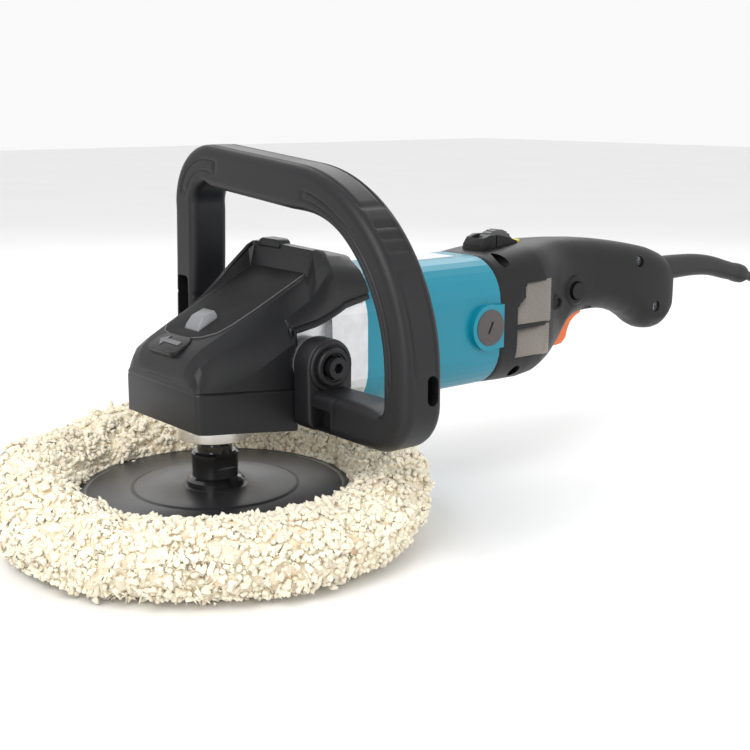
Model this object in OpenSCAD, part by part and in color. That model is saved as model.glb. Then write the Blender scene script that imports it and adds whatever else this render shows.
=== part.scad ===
// Two-handed rotary polisher with a loop handle, a rubber backing pad and a wool pad.
// Millimetres. +Z is up, +X runs back to the rear handle, +Y is the tool's right side.
// The origin is on the spindle axis, at the wool pad's working face.

/* [Pad] */
// Diameter of the rubber backing pad
pad_d = 170; // [150:2:174]
// Height of the backing pad's upper face above the working face
pad_top_z = 34; // [34:0.5:35]
// Outside diameter of the wool pile
wool_d = 268; // [250:2:280]
// Height of the wool's curled rim
wool_h = 57; // [54:1:62]

/* [Spindle and gears] */
// Diameter of the spindle's threaded end
thread_d = 14; // [12:1:16]
// Module of the spur gear pair
spur_module = 1.2; // [1.19:0.005:1.2]
// Teeth of the large spur gear on the spindle
spur_gear_teeth = 45; // [45:1:45]
// Teeth of the small spur pinion
spur_pinion_teeth = 12; // [12:1:12]
// Module of the bevel gear pair
bevel_module = 1.6; // [1.55:0.01:1.6]
// Teeth of the bevel gear on the intermediate shaft
bevel_gear_teeth = 26; // [26:1:26]
// Teeth of the bevel pinion on the armature
bevel_pinion_teeth = 12; // [12:1:12]
// Play between meshing teeth
backlash = 0.16; // [0.12:0.01:0.2]
// Radial clearance of a running fit
running_fit = 0.05; // [0.02:0.01:0.09]

/* [Motor] */
// Height of the motor axis
motor_z = 118; // [118:0.5:119]
// Width of the motor housing
motor_w = 88; // [88:1:92]
// Height of the motor housing
motor_h = 91; // [91:1:93]
// Diameter of the armature core
armature_d = 46; // [44:0.5:46.5]
// Diameter of the commutator
commutator_d = 27; // [26:0.5:27]
// Wall of the plastic housings
shell_t = 3; // [2.6:0.1:3.2]

/* [Loop handle] */
// Thickness of the grip in the plane of the loop
grip_t = 27; // [25:1:28]
// Depth of the grip, front to back
grip_depth = 28; // [26:1:32]
// Reach of the big left-hand arc from its centre
loop_r = 100; // [98:1:102]

/* [Cord] */
// Diameter of the mains cord
cord_d = 8; // [7:0.5:8]

/* [Hidden] */
$fn = 64;

// Spindle group
pad_r = pad_d / 2;
wool_r = wool_d / 2;
pad_bottom_z = pad_top_z - 6.5;
hub_top_z = pad_top_z + 22;
collar_top_z = hub_top_z + 4;
nose_r = 22.5;
nose_bottom_z = 65;
flange_z = [79, 84];
spindle_bearing = [15, 35, 11];
small_bearing = [8, 22, 7];
front_bearing = [12, 28, 8];
lower_bearing_z = 74.5;
upper_bearing_z = 103;
gear_z = [89.5, 99.5];
lock_hole_r = 3.4;
lock_circle_r = 18;

// Gear train
spur_gear_r = spur_module * spur_gear_teeth / 2;
centre_x = spur_module * (spur_gear_teeth + spur_pinion_teeth) / 2;
bevel_gear_r = bevel_module * bevel_gear_teeth / 2;
bevel_pinion_r = bevel_module * bevel_pinion_teeth / 2;
cone_r = sqrt(pow(bevel_gear_r, 2) + pow(bevel_pinion_r, 2));
face_w = 8;
pressure = 20;
spur_shift = 0.3;
bevel_shift = 0.25;
intermediate_top_bearing_z = 138.5;
bush = [8, 12, 10];
bush_z = 78.5;

// Motor
front_bearing_x = 61;
rear_bearing_x = 206;
core_x = [112, 158];
brush_x = 192;
motor_x = [88, 205];
fan_x = [77, 87];
fan_r = 36;
corner_r = 30;
screw_yz = [29.5, 31.5];
stator_r = 37.4;

// Head
lug_x = 41;
lug_z = 114.5;
lug_r = 16.5;
lug_y = [51.3, 67];
head_back_x = 88;

// Rear handle
handle_x = [205.3, 438];
trigger_pivot = [328, 117];
trigger_reach = 44.5;
dial_axis = [241, 162.5];
dial_r = 16;
button_xz = [305, 130];
handle_screw_xz = [[218, 158], [226, 81], [384, 145], [408, 107]];
vent_x = [224, 258];
vent_z = [92, 145];

// Loop handle centreline, seen from the rear: y to the right, z up
loop_arc_centre = [-36.5, 120.5];
leg_foot = [80, 98];
leg_top = [74, 204];
arm_z = 90;

// Cord: points of the stretch from the guard down to the coil on the floor
guard_route = [[424, 0, 134], [438, 0, 134], [456, 0, 134], [476, 0, 133.5], [498, 0, 131], [521, 0, 125.5],
    [538, 0, 121.5], [548, 0, 119]];
guard_radii = [10.2, 10.2, 9.9, 9, 8.4, 8, 8.4, 8];
cord_route = [[548, 0, 119], [558, 0, 116.5], [568, 0, 113], [579, 0, 106.5], [588, 0, 98], [595, -1, 88],
    [601, -2, 76], [606, -3, 63], [611, -5, 50], [616, -7, 38], [623, -10, 26], [631, -13, 16], [641, -16, 8.5],
    [653.5, -19.8, 5]];
coil_centre = [640, -70];
coil_r = [32, 56];
coil_z = [1, 25];

function arc(c, r, from, to, n) =
    [for (i = [0:n]) let (a = from + (to - from) * i / n) [c[0] + r * cos(a), c[1] + r * sin(a)]];
function round_rect(w, h, r, n = 8) = concat(
    arc([w / 2 - r, h / 2 - r], r, 0, 90, n), arc([-w / 2 + r, h / 2 - r], r, 90, 180, n),
    arc([-w / 2 + r, -h / 2 + r], r, 180, 270, n), arc([w / 2 - r, -h / 2 + r], r, 270, 360, n));
function reversed(list) = [for (i = [len(list) - 1:-1:0]) list[i]];
function unit(v) = v / norm(v);

// A 2D outline (y, z) stretched along X, and one (x, z) stretched along Y
module along_x(from, to) {
    translate([from, 0, 0]) rotate([90, 0, 90]) linear_extrude(to - from) children();
}
module along_y(from, to) {
    translate([0, to, 0]) rotate([90, 0, 0]) linear_extrude(to - from) children();
}
module rod_x(r, from, to, z = motor_z, y = 0) {
    translate([from, y, z]) rotate([0, 90, 0]) cylinder(r = r, h = to - from);
}
module rod_y(r, from, to, x, z) {
    translate([x, to, z]) rotate([90, 0, 0]) cylinder(r = r, h = to - from);
}
module rod_z(r, from, to, x = 0, y = 0) {
    translate([x, y, from]) cylinder(r = r, h = to - from);
}
module block(x, y, z) {
    translate([x[0], y[0], z[0]]) cube([x[1] - x[0], y[1] - y[0], z[1] - z[0]]);
}
module both_sides() {
    children();
    mirror([0, 1, 0]) children();
}
module motor_outline(inset = 0) {
    translate([0, motor_z]) polygon(round_rect(motor_w - 2 * inset, motor_h - 2 * inset, corner_r - inset));
}

// Ball bearing standing on the XY plane: two rings and a row of balls
module ball_bearing(size, play = 0) {
    bore_r = size[0] / 2;
    outer_r = size[1] / 2;
    width = size[2];
    ring_t = (outer_r - bore_r) * 0.27;
    middle_r = (outer_r + bore_r) / 2;
    ball_r = (outer_r - bore_r) * 0.22;
    balls = floor(PI * middle_r / ball_r * 0.8);
    difference() {
        cylinder(r = outer_r, h = width);
        translate([0, 0, -1]) cylinder(r = outer_r - ring_t, h = width + 2);
    }
    difference() {
        cylinder(r = bore_r + ring_t, h = width);
        translate([0, 0, -1]) cylinder(r = bore_r, h = width + 2);
    }
    for (i = [0:balls - 1])
        rotate([0, 0, i * 360 / balls]) translate([middle_r, 0, width / 2]) sphere(r = ball_r, $fn = 24);
}

// Involute tooth form: half the tooth's angle at radius r, for a gear of pitch radius rp
function inv(a) = tan(a) * 180 / PI - a;
function half_angle(r, rp, m, shift) =
    let (rb = rp * cos(pressure),
         s = m * (PI / 2 + 2 * shift * tan(pressure)) - backlash,
         a = acos(min(1, rb / max(r, rb))))
    s / (2 * rp) * 180 / PI + inv(pressure) - inv(a);
function spur_radii(rp, m, shift, n = 6) =
    let (rf = rp - m * (1.25 - shift), ra = rp + m * (1 + shift))
    [for (i = [0:n]) rf + (ra - rf) * i / n];
function spur_outline(teeth, m, shift, turn = 0) =
    let (rp = m * teeth / 2, radii = spur_radii(rp, m, shift))
    [for (k = [0:teeth - 1]) let (mid = k * 360 / teeth + turn)
        for (side = [-1, 1]) for (r = side < 0 ? radii : reversed(radii))
            let (a = mid + side * half_angle(r, rp, m, shift)) [r * cos(a), r * sin(a)]];

// Bevel tooth form: the virtual spur gear on the back cone, carried to a plane square to the axis
// along lines through the apex. cone is the pitch cone's half angle, and h the plane's distance from the apex.
function bevel_outline(teeth, m, shift, cone, h, turn = 0) =
    let (rp = m * teeth / 2, rv = rp / cos(cone), h0 = cone_r * cos(cone), radii = spur_radii(rv, m, shift))
    [for (k = [0:teeth - 1]) let (mid = k * 360 / teeth + turn)
        for (side = [-1, 1]) for (r = side < 0 ? radii : reversed(radii))
            let (t = r - rv,
                 a = mid + side * half_angle(r, rv, m, shift) / cos(cone),
                 flat_r = (rp + t * cos(cone)) * h / (h0 - t * sin(cone)))
            [flat_r * cos(a), flat_r * sin(a)]];
// Where a cone at angle a off the axis meets the back or front of the teeth: [radius, distance from apex]
function on_cone(dist, a) = [dist * sin(a), dist * cos(a)];

module bevel_teeth(teeth, shift, cone, turn) {
    tip = cone + atan(bevel_module * (1 + shift) / cone_r);
    root = cone - atan(bevel_module * (1.25 - shift) / cone_r);
    inner = cone_r - face_w;
    low = on_cone(inner, tip)[1] - 0.5;
    high = on_cone(cone_r, root)[1] + 0.5;
    intersection() {
        translate([0, 0, low]) linear_extrude(height = high - low, scale = high / low)
            polygon(bevel_outline(teeth, bevel_module, shift, cone, low, turn));
        rotate_extrude() polygon([on_cone(inner, root - 3), on_cone(inner, tip + 2),
            on_cone(cone_r, tip + 2), on_cone(cone_r, root - 3)]);
    }
}

// A tube of round section along a list of points that never runs along Y
function across(t) = unit(cross(t, [0, 1, 0]));
function tangent(p, i) = unit(p[min(i + 1, len(p) - 1)] - p[max(i - 1, 0)]);
module tube_along(p, radii, sides = 8) {
    n = len(p);
    points = [for (i = [0:n - 1]) let (t = tangent(p, i), u = across(t), v = cross(t, u))
        for (k = [0:sides - 1]) let (a = k * 360 / sides)
            p[i] + (is_list(radii) ? radii[i] : radii) * (u * cos(a) + v * sin(a))];
    faces = concat(
        [[for (k = [0:sides - 1]) k]],
        [[for (k = [sides - 1:-1:0]) (n - 1) * sides + k]],
        [for (i = [0:n - 2]) for (k = [0:sides - 1]) let (a = i * sides + k, b = i * sides + (k + 1) % sides)
            [a, a + sides, b + sides, b]]);
    polyhedron(points, faces);
}

// ---- Pad and spindle ----

module wool_pad() {
    color("ivory") rotate_extrude($fn = 96) polygon(concat(
        [[0, 0], [106, 0]],
        arc([106, 28], 28, -90, 0, 8),
        arc([wool_r - 17, wool_h - 17], 17, 20, 150, 8),
        [[pad_r + 8, pad_top_z + 5], [pad_r + 1.2, pad_top_z + 1]],
        [[pad_r + 1.2, pad_bottom_z - 1.5], [0, pad_bottom_z - 1.5]]));
}

module hook_disc() {
    color("dimgray") rod_z(pad_r - 1, pad_bottom_z - 1.5, pad_bottom_z);
}

module backing_pad() {
    bore_r = thread_d / 2 + 0.1;
    color("#3a3a3c") rotate_extrude($fn = 96) polygon([
        [bore_r, pad_bottom_z + 4], [19, pad_bottom_z + 4], [19, pad_bottom_z], [pad_r - 1, pad_bottom_z],
        [pad_r, pad_bottom_z + 1.2], [pad_r, pad_top_z - 1.6], [pad_r - 0.8, pad_top_z - 0.8],
        [pad_r * 0.62, pad_top_z - 0.8], [pad_r * 0.6, pad_top_z], [bore_r, pad_top_z]]);
}

module pad_lock_nut() {
    color("silver") difference() {
        rod_z(18, pad_bottom_z + 0.6, pad_bottom_z + 4);
        rod_z(thread_d / 2, pad_bottom_z, pad_bottom_z + 5);
        for (a = [0, 180]) rotate([0, 0, a]) rod_z(2.2, pad_bottom_z, pad_bottom_z + 5, 12.5);
    }
}

module pad_hub() {
    flange_r = 18;
    neck_r = 14.5;
    flat_y = 12.4;
    color("#141416") difference() {
        rotate_extrude() polygon([
            [thread_d / 2, pad_top_z], [flange_r, pad_top_z], [flange_r, pad_top_z + 3.4],
            [flange_r - 1.6, pad_top_z + 5], [neck_r, pad_top_z + 6], [neck_r, hub_top_z - 1.5],
            [neck_r - 1.5, hub_top_z], [thread_d / 2, hub_top_z]]);
        both_sides() block([-20, 20], [flat_y, 20], [pad_top_z + 12, hub_top_z + 1]);
    }
}

module spindle() {
    seat_r = spindle_bearing[0] / 2 - running_fit;
    top_r = small_bearing[0] / 2 - running_fit;
    color("silver") union() {
        rod_z(thread_d / 2, pad_bottom_z + 1, hub_top_z);
        rod_z(11, hub_top_z, collar_top_z);
        rod_z(8.8, collar_top_z, lower_bearing_z - 0.5);
        rod_z(seat_r, lower_bearing_z - 0.5, gear_z[1] + 2);
        rod_z(top_r, gear_z[1] + 2, upper_bearing_z + small_bearing[2]);
    }
}

module spindle_gear() {
    color("#8d8f94") difference() {
        union() {
            translate([0, 0, gear_z[0]]) linear_extrude(gear_z[1] - gear_z[0])
                polygon(spur_outline(spur_gear_teeth, spur_module, -spur_shift));
            rod_z(11, lower_bearing_z + spindle_bearing[2] + 0.8, gear_z[1] + 1.5);
        }
        rod_z(spindle_bearing[0] / 2 - running_fit, gear_z[0] - 9, gear_z[1] + 3);
        for (a = [0:90:270])
            rotate([0, 0, a]) rod_z(lock_hole_r, gear_z[0] - 1, gear_z[1] + 1, lock_circle_r);
    }
}

module lower_spindle_bearing() {
    color("lightgray") translate([0, 0, lower_bearing_z]) ball_bearing(spindle_bearing);
}

module upper_spindle_bearing() {
    color("lightgray") translate([0, 0, upper_bearing_z]) ball_bearing(small_bearing);
}

module nose_seal() {
    color("#202022") difference() {
        rod_z(13, nose_bottom_z + 1, nose_bottom_z + 6);
        rod_z(8.8 + 0.4, nose_bottom_z, nose_bottom_z + 7);
    }
}

module bearing_box() {
    bearing_r = spindle_bearing[1] / 2;
    color("#c9cacd") difference() {
        union() {
            translate([-2.5, 0, flange_z[0]]) linear_extrude(flange_z[1] - flange_z[0])
                polygon(round_rect(55, 74, 12));
            rod_z(nose_r, nose_bottom_z, flange_z[0]);
            rod_z(21, flange_z[1], lower_bearing_z + spindle_bearing[2]);
        }
        rod_z(bearing_r, lower_bearing_z, flange_z[1] + 9);
        rod_z(13, nose_bottom_z - 1, lower_bearing_z - 1.5);
        rod_z(11, nose_bottom_z, lower_bearing_z + 1);
        box_screws() rod_z(2.1, flange_z[0] - 1, flange_z[1] + 1);
    }
}

module box_screws() {
    for (x = [-22, 17], y = [-30, 30]) translate([x, y, 0]) children();
}

module bearing_box_screws() {
    color("#77787c") box_screws() {
        rod_z(2, flange_z[0], flange_z[1] + 9);
        difference() {
            rod_z(3.8, flange_z[0] - 3, flange_z[0]);
            rotate([0, 0, 30]) translate([0, 0, flange_z[0] - 4]) cylinder(r = 1.8, h = 2.6, $fn = 6);
        }
    }
}

// ---- Intermediate shaft ----

module intermediate_shaft() {
    low_r = bush[0] / 2 - running_fit;
    top_r = small_bearing[0] / 2 - running_fit;
    color("silver") union() {
        rod_z(low_r, bush_z, bush_z + bush[2] + 0.5, centre_x);
        rod_z(4.5, bush_z + bush[2] + 0.5, gear_z[1] + 1.5, centre_x);
        rod_z(6, gear_z[1] + 1.5, intermediate_top_bearing_z - 0.5, centre_x);
        rod_z(top_r, intermediate_top_bearing_z - 0.5, intermediate_top_bearing_z + small_bearing[2], centre_x);
    }
}

module spur_pinion() {
    color("#8d8f94") translate([centre_x, 0, 0]) difference() {
        translate([0, 0, gear_z[0]]) linear_extrude(gear_z[1] - gear_z[0] + 1.5)
            polygon(spur_outline(spur_pinion_teeth, spur_module, spur_shift, 180 / spur_pinion_teeth));
        rod_z(4.5, gear_z[0] - 1, gear_z[1] + 3);
    }
}

module bevel_gear() {
    cone = atan(bevel_gear_teeth / bevel_pinion_teeth);
    root = cone - atan(bevel_module * (1.25 + bevel_shift) / cone_r) + 0.4;
    rim = on_cone(cone_r, root);
    toe = on_cone(cone_r - face_w, root);
    back_h = intermediate_top_bearing_z - 5.5 - motor_z;
    hub_h = intermediate_top_bearing_z - 1 - motor_z;
    color("#85878c") translate([centre_x, 0, motor_z]) union() {
        bevel_teeth(bevel_gear_teeth, -bevel_shift, cone, 0);
        rotate_extrude() polygon([[6, toe[1]], toe, rim, [rim[0], back_h], [9, back_h], [9, hub_h], [6, hub_h]]);
    }
}

module intermediate_bearings() {
    color("lightgray") translate([centre_x, 0, 0]) {
        translate([0, 0, intermediate_top_bearing_z]) ball_bearing(small_bearing);
        difference() {
            rod_z(bush[1] / 2, bush_z, bush_z + bush[2]);
            rod_z(bush[0] / 2, bush_z - 1, bush_z + bush[2] + 1);
        }
    }
}

// ---- Armature ----

module armature_shaft() {
    pinion_back = centre_x + on_cone(cone_r, 0)[1];
    front_r = front_bearing[0] / 2 - running_fit;
    color("silver") union() {
        rod_x(3.6, centre_x + 14.5, pinion_back);
        rod_x(front_r, pinion_back, fan_x[0]);
        rod_x(5, fan_x[0], rear_bearing_x);
        rod_x(small_bearing[0] / 2 - running_fit, rear_bearing_x, rear_bearing_x + small_bearing[2] + 0.5);
    }
}

module bevel_pinion() {
    cone = atan(bevel_pinion_teeth / bevel_gear_teeth);
    root = cone - atan(bevel_module * (1.25 - bevel_shift) / cone_r) + 0.4;
    rim = on_cone(cone_r, root);
    toe = on_cone(cone_r - face_w, root);
    color("#85878c") translate([centre_x, 0, motor_z]) rotate([90, 0, 90]) union() {
        bevel_teeth(bevel_pinion_teeth, bevel_shift, cone, 180 / bevel_pinion_teeth);
        rotate_extrude() polygon([[3.6, toe[1]], toe, rim, [rim[0], cone_r], [3.6, cone_r]]);
    }
}

module armature_core() {
    slots = 22;
    color("#6f7175") difference() {
        rod_x(armature_d / 2, core_x[0], core_x[1]);
        rod_x(5, core_x[0] - 1, core_x[1] + 1);
        for (i = [0:slots - 1]) translate([0, 0, motor_z]) rotate([i * 360 / slots, 0, 0])
            block([core_x[0] - 1, core_x[1] + 1], [-0.7, 0.7], [armature_d / 2 - 5, armature_d / 2 + 1]);
    }
}

module armature_windings() {
    r = armature_d / 2 - 2;
    color("#b5602c") {
        translate([core_x[0], 0, motor_z]) rotate([0, -90, 0]) rotate_extrude()
            polygon([[5, 0], [r, 0], [r, 5], [r - 3, 8], [8, 8], [5, 6]]);
        translate([core_x[1], 0, motor_z]) rotate([0, 90, 0]) rotate_extrude()
            polygon([[5, 0], [r, 0], [r, 6], [r - 4, 11], [commutator_d / 2, 22], [5, 22]]);
    }
}

module commutator() {
    bars = 24;
    from = core_x[1] + 22.5;
    to = from + 20;
    color("#b87333") difference() {
        rod_x(commutator_d / 2, from, to);
        rod_x(5, from - 1, to + 1);
        for (i = [0:bars - 1]) translate([0, 0, motor_z]) rotate([i * 360 / bars, 0, 0])
            block([from + 3, to + 1], [-0.3, 0.3], [commutator_d / 2 - 1.5, commutator_d / 2 + 1]);
    }
}

module cooling_fan() {
    blades = 18;
    color("#2a2a2d") difference() {
        union() {
            rod_x(fan_r, fan_x[0], fan_x[0] + 1.6);
            rod_x(10, fan_x[0], fan_x[1]);
            for (i = [0:blades - 1]) translate([0, 0, motor_z]) rotate([i * 360 / blades, 0, 0])
                block([fan_x[0] + 1, fan_x[1]], [-0.8, 0.8], [18, fan_r - 0.6]);
        }
        rod_x(5, fan_x[0] - 1, fan_x[1] + 1);
    }
}

module armature_bearings() {
    color("lightgray") {
        translate([front_bearing_x, 0, motor_z]) rotate([0, 90, 0]) ball_bearing(front_bearing);
        translate([rear_bearing_x, 0, motor_z]) rotate([0, 90, 0]) ball_bearing(small_bearing);
    }
}

// ---- Motor ----

module coil_bars(from, to, grow = 0) {
    for (a = [45:90:315]) translate([0, 0, motor_z]) rotate([a, 0, 0])
        block([from, to], [-5 - grow, 5 + grow], [25.5 - grow, 33 + grow]);
}

module stator_core() {
    color("#8a8c90") difference() {
        rod_x(stator_r, core_x[0], core_x[1]);
        rod_x(armature_d / 2 + 0.7, core_x[0] - 1, core_x[1] + 1);
        coil_bars(core_x[0] - 1, core_x[1] + 1, 0.2);
    }
}

module coil_end(from, to) {
    for (a = [-135, 45]) translate([from, 0, motor_z]) rotate([0, 90, 0]) rotate([0, 0, a])
        rotate_extrude(angle = 90) translate([25.5, 0]) square([7.5, to - from]);
}

module field_coils() {
    color("#a9531f") {
        coil_bars(core_x[0] - 2, core_x[1] + 2);
        coil_end(core_x[0] - 9, core_x[0] - 1.5);
        coil_end(core_x[1] + 1.5, core_x[1] + 9);
    }
}

module fan_baffle() {
    color("#303033") difference() {
        rod_x(fan_r + 1, motor_x[0] + 2, motor_x[0] + 4.5);
        rod_x(armature_d / 2 + 2, motor_x[0] + 1, motor_x[0] + 6);
    }
}

module at_motor_screws() {
    for (sy = [-1, 1], sz = [-1, 1]) translate([0, sy * screw_yz[0], motor_z + sz * screw_yz[1]]) children();
}

module motor_housing() {
    boss_z = [motor_z - 15, motor_z + 15];
    color("#0096b2") difference() {
        union() {
            difference() {
                union() {
                    along_x(motor_x[0], motor_x[1]) motor_outline();
                    both_sides() {
                        rod_y(16, 40, 48, brush_x, motor_z);
                        block([brush_x, motor_x[1]], [40, 48], boss_z);
                    }
                }
                along_x(motor_x[0] - 1, motor_x[1] - 4) motor_outline(shell_t);
            }
            rod_x(14, motor_x[1] - 4, rear_bearing_x + small_bearing[2] + 1);
            intersection() {
                for (part_x = [[motor_x[0], motor_x[0] + 12], [motor_x[1] - 15, motor_x[1]]])
                    at_motor_screws() rod_x(5.4, part_x[0], part_x[1], 0);
                along_x(motor_x[0], motor_x[1]) motor_outline(1);
            }
        }
        rod_x(small_bearing[1] / 2, rear_bearing_x, motor_x[1] + 20);
        rod_x(7, motor_x[1] - 5, rear_bearing_x + 1);
        at_motor_screws() rod_x(2.1, motor_x[0] - 1, motor_x[1] + 1, 0);
        both_sides() {
            block([brush_x - 6.2, brush_x + 6.2], [18, 44.6], [motor_z - 5.2, motor_z + 5.2]);
            rod_y(12.5, 44.6, 49, brush_x, motor_z);
            block([motor_x[1], motor_x[1] + 8], [38, 50], boss_z + [-3, 3]);
        }
        for (a = [45:90:315]) translate([0, 0, motor_z]) rotate([a, 0, 0])
            block([motor_x[1] - 5, motor_x[1] + 1], [-7, 7], [19, 32]);
    }
}

module motor_screws() {
    color("#77787c") at_motor_screws() {
        rod_x(2, 62, motor_x[1], 0);
        rod_x(4, motor_x[1], motor_x[1] + 2.5, 0);
    }
}

module brush_holders() {
    color("#c79a3c") both_sides() difference() {
        block([brush_x - 6.1, brush_x + 6.1], [15, 44.4], [motor_z - 5.1, motor_z + 5.1]);
        block([brush_x - 5.1, brush_x + 5.1], [14, 45], [motor_z - 3.4, motor_z + 3.4]);
    }
}

module carbon_brushes() {
    color("#26262a") both_sides()
        block([brush_x - 5, brush_x + 5], [commutator_d / 2 + 0.1, 32], [motor_z - 3.3, motor_z + 3.3]);
}

module brush_caps() {
    color("#3b3633") both_sides() difference() {
        rod_y(12.4, 45, 48.4, brush_x, motor_z);
        translate([brush_x, 47.4, motor_z]) rotate([0, 25, 0]) cube([1.8, 3, 9], center = true);
    }
}

module name_plate() {
    color("#c4c8cc") block([150, 190], [-13, 13], [motor_z + motor_h / 2, motor_z + motor_h / 2 + 0.5]);
}

// ---- Gear housing and head ----

// Outside of the gear housing, grown by a clearance where the cover has to clear it
module gear_housing_form(grow = 0) {
    low_z = grow > 0 ? 60 : flange_z[1];
    translate([-2.5, 0, low_z]) linear_extrude(105 + grow - low_z)
        polygon(round_rect(57 + 2 * grow, 76 + 2 * grow, 12));
    rod_z(14 + grow, 104, 113 + grow);
    block([9 - grow, 61], [-27 - grow, 27 + grow], [100, 140 + grow]);
    rod_z(13.5 + grow, 139, 147.5 + grow, centre_x);
    block([26 - (grow > 0 ? 0.5 : 0), 61], [-38 - grow, 38 + grow], [grow > 0 ? 60 : 77, 138 + grow]);
    along_x(60 - grow, head_back_x) translate([0, motor_z])
        polygon(round_rect(motor_w + 2 * grow, motor_h + 2 * grow, corner_r));
}

module gear_housing() {
    color("#c3c5c8") difference() {
        union() {
            gear_housing_form();
            both_sides() rod_y(lug_r - 1.5, 30, 51, lug_x, lug_z);
        }
        rod_z(spur_gear_r + 2.2, flange_z[1] - 1, bush_z + bush[2] - 0.1 + 13.4);
        block([25.3, 40], [-12, 12], [60, 76.9]);
        rod_z(21.2, flange_z[1] - 1, flange_z[1] + 3);
        rod_z(10.2, bush_z + bush[2], 106, centre_x);
        rod_z(bush[1] / 2, bush_z, bush_z + bush[2] + 1, centre_x);
        rod_z(small_bearing[1] / 2, 101, upper_bearing_z + small_bearing[2]);
        rod_z(9, 105, 124, centre_x);
        rod_z(23.2, motor_z + 4, intermediate_top_bearing_z - 0.7, centre_x);
        rod_z(small_bearing[1] / 2, intermediate_top_bearing_z - 1, intermediate_top_bearing_z + small_bearing[2],
            centre_x);
        rod_x(13.4, centre_x + 2, front_bearing_x + 0.01);
        rod_x(front_bearing[1] / 2, front_bearing_x, 71);
        along_x(70, head_back_x + 1) motor_outline(4);
        rod_z(2.5 + running_fit, 98, 120, -lock_circle_r);
        box_screws() rod_z(2, flange_z[1] - 1, flange_z[1] + 9);
        at_motor_screws() rod_x(2, 62, 71, 0);
        both_sides() rod_y(4, 39, 52, lug_x, lug_z);
        for (y = [-18:12:18]) block([76, 86], [y - 3, y + 3], [motor_z - motor_h / 2 - 1, motor_z - 38]);
    }
}

module bearing_plate() {
    color("#a6a8ab") difference() {
        rod_x(fan_r + 1, 70, 73);
        rod_x(10, 69, 74);
    }
}

// One slice of the cover: foot at half width w[0] up to z[1], shoulder at w[1], z[2], crown at w[2], z[3]
module slice(x, w, z) {
    along_x(x, x + 0.01) polygon([
        [-w[0], z[0]], [w[0], z[0]], [w[0], z[1]], [w[1], z[2]], [w[2], z[3]],
        [-w[2], z[3]], [-w[1], z[2]], [-w[0], z[1]]]);
}

cover_low_z = 77.5;
cover_slices = [
    [-37, [40, 35, 27], [cover_low_z, 103.5, 111, 115]],
    [-31, [44.5, 38, 28.5], [cover_low_z, 106.5, 119.5, 124.5]],
    [0, [46.5, 38.5, 30], [cover_low_z, 107, 130, 140]],
    [28, [50, 38.5, 30], [cover_low_z, 112, 140, 154]],
    [48, [47, 38, 30], [cover_low_z, 136, 152, 164]],
    [54, [46.5, 37, 29], [cover_low_z, 142, 160, 180]],
    [66, [46, 36.5, 29], [cover_low_z, 146, 166, 180]],
    [88, [46, 36, 24], [cover_low_z, 149, 163, 173]]];

module head_cover() {
    color("#2b2b2e") difference() {
        union() for (i = [0:len(cover_slices) - 2]) hull() {
            slice(cover_slices[i][0], cover_slices[i][1], cover_slices[i][2]);
            slice(cover_slices[i + 1][0], cover_slices[i + 1][1], cover_slices[i + 1][2]);
        }
        gear_housing_form(0.3);
        along_y(-60, 60) polygon([[28.5, 60], [28.5, 129], [60, 131], [62, 146], [90, 148], [90, 60]]);
        block([-24, 6], [-10, 10], [104, 124.5]);
        rod_y(lug_r - 1.2, -60, 60, lug_x, lug_z);
        block([-14.4, 0.4], [-8.4, 8.4], [110, 160]);
        rod_x(corner_r + 30, head_back_x, head_back_x + 2);
    }
}

module cover_panel() {
    color("#18181a") difference() {
        along_y(-27, 27) polygon([[-17, 131.8], [47, 163.8], [46.3, 165.3], [-17.7, 133.3]]);
        block([-14.6, 0.6], [-8.6, 8.6], [110, 170]);
    }
}

module shaft_lock_button() {
    color("#9a9ca0") union() {
        along_y(-8, 8) polygon([[-14, 118], [0, 118], [0, 143.5], [-4, 145], [-10, 142.4], [-14, 137]]);
        block([-22, -13.9], [-7, 7], [118, 123]);
    }
}

module shaft_lock_pin() {
    color("silver") rod_z(2.5, gear_z[1] + 1.6, 118, -lock_circle_r);
}

module shaft_lock_spring() {
    turns = 4;
    per_turn = 14;
    spring_r = 3.2;
    color("#9fa1a5") tube_helix([-lock_circle_r, 0], spring_r, 105.7, 117.3, turns, per_turn, 0.5);
}

// Round wire wound about Z
module tube_helix(c, r, from, to, turns, per_turn, wire_r, sides = 8) {
    n = turns * per_turn;
    p = [for (i = [0:n]) let (a = i * 360 / per_turn)
        [c[0] + r * cos(a), c[1] + r * sin(a), from + (to - from) * i / n]];
    points = [for (i = [0:n]) let (a = i * 360 / per_turn, u = [cos(a), sin(a), 0])
        for (k = [0:sides - 1]) let (b = k * 360 / sides) p[i] + wire_r * (u * cos(b) + [0, 0, 1] * sin(b))];
    faces = concat(
        [[for (k = [0:sides - 1]) k]],
        [[for (k = [sides - 1:-1:0]) n * sides + k]],
        [for (i = [0:n - 1]) for (k = [0:sides - 1]) let (a = i * sides + k, b = i * sides + (k + 1) % sides)
            [a, a + sides, b + sides, b]]);
    polyhedron(points, faces);
}

// ---- Rear handle ----

handle_side = [
    [205.3, 72.5], [236, 71], [252, 73], [266, 76.5], [278, 80.5], [286, 84.5], [292, 90.5], [299, 99], [309, 106],
    [321, 109.5],
    [338, 110], [355, 108.5], [374, 104.5], [392, 96], [402, 89.5], [412, 87], [424, 88.5], [433, 96], [438, 108],
    [438, 127], [434, 139], [426, 147], [406, 154], [381, 159.5], [356, 163.5], [333, 166.5], [310, 168.3],
    [289, 169], [257, 168.5], [205.3, 163.5]];
handle_plan = [
    [205.3, 44.4], [240, 44], [256, 42.4], [264, 39], [275, 32.6], [284, 27.8], [292, 24.6], [305, 21.6], [330, 19.4],
    [402, 19], [416, 17.8], [428, 15.6], [438, 8]];

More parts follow.
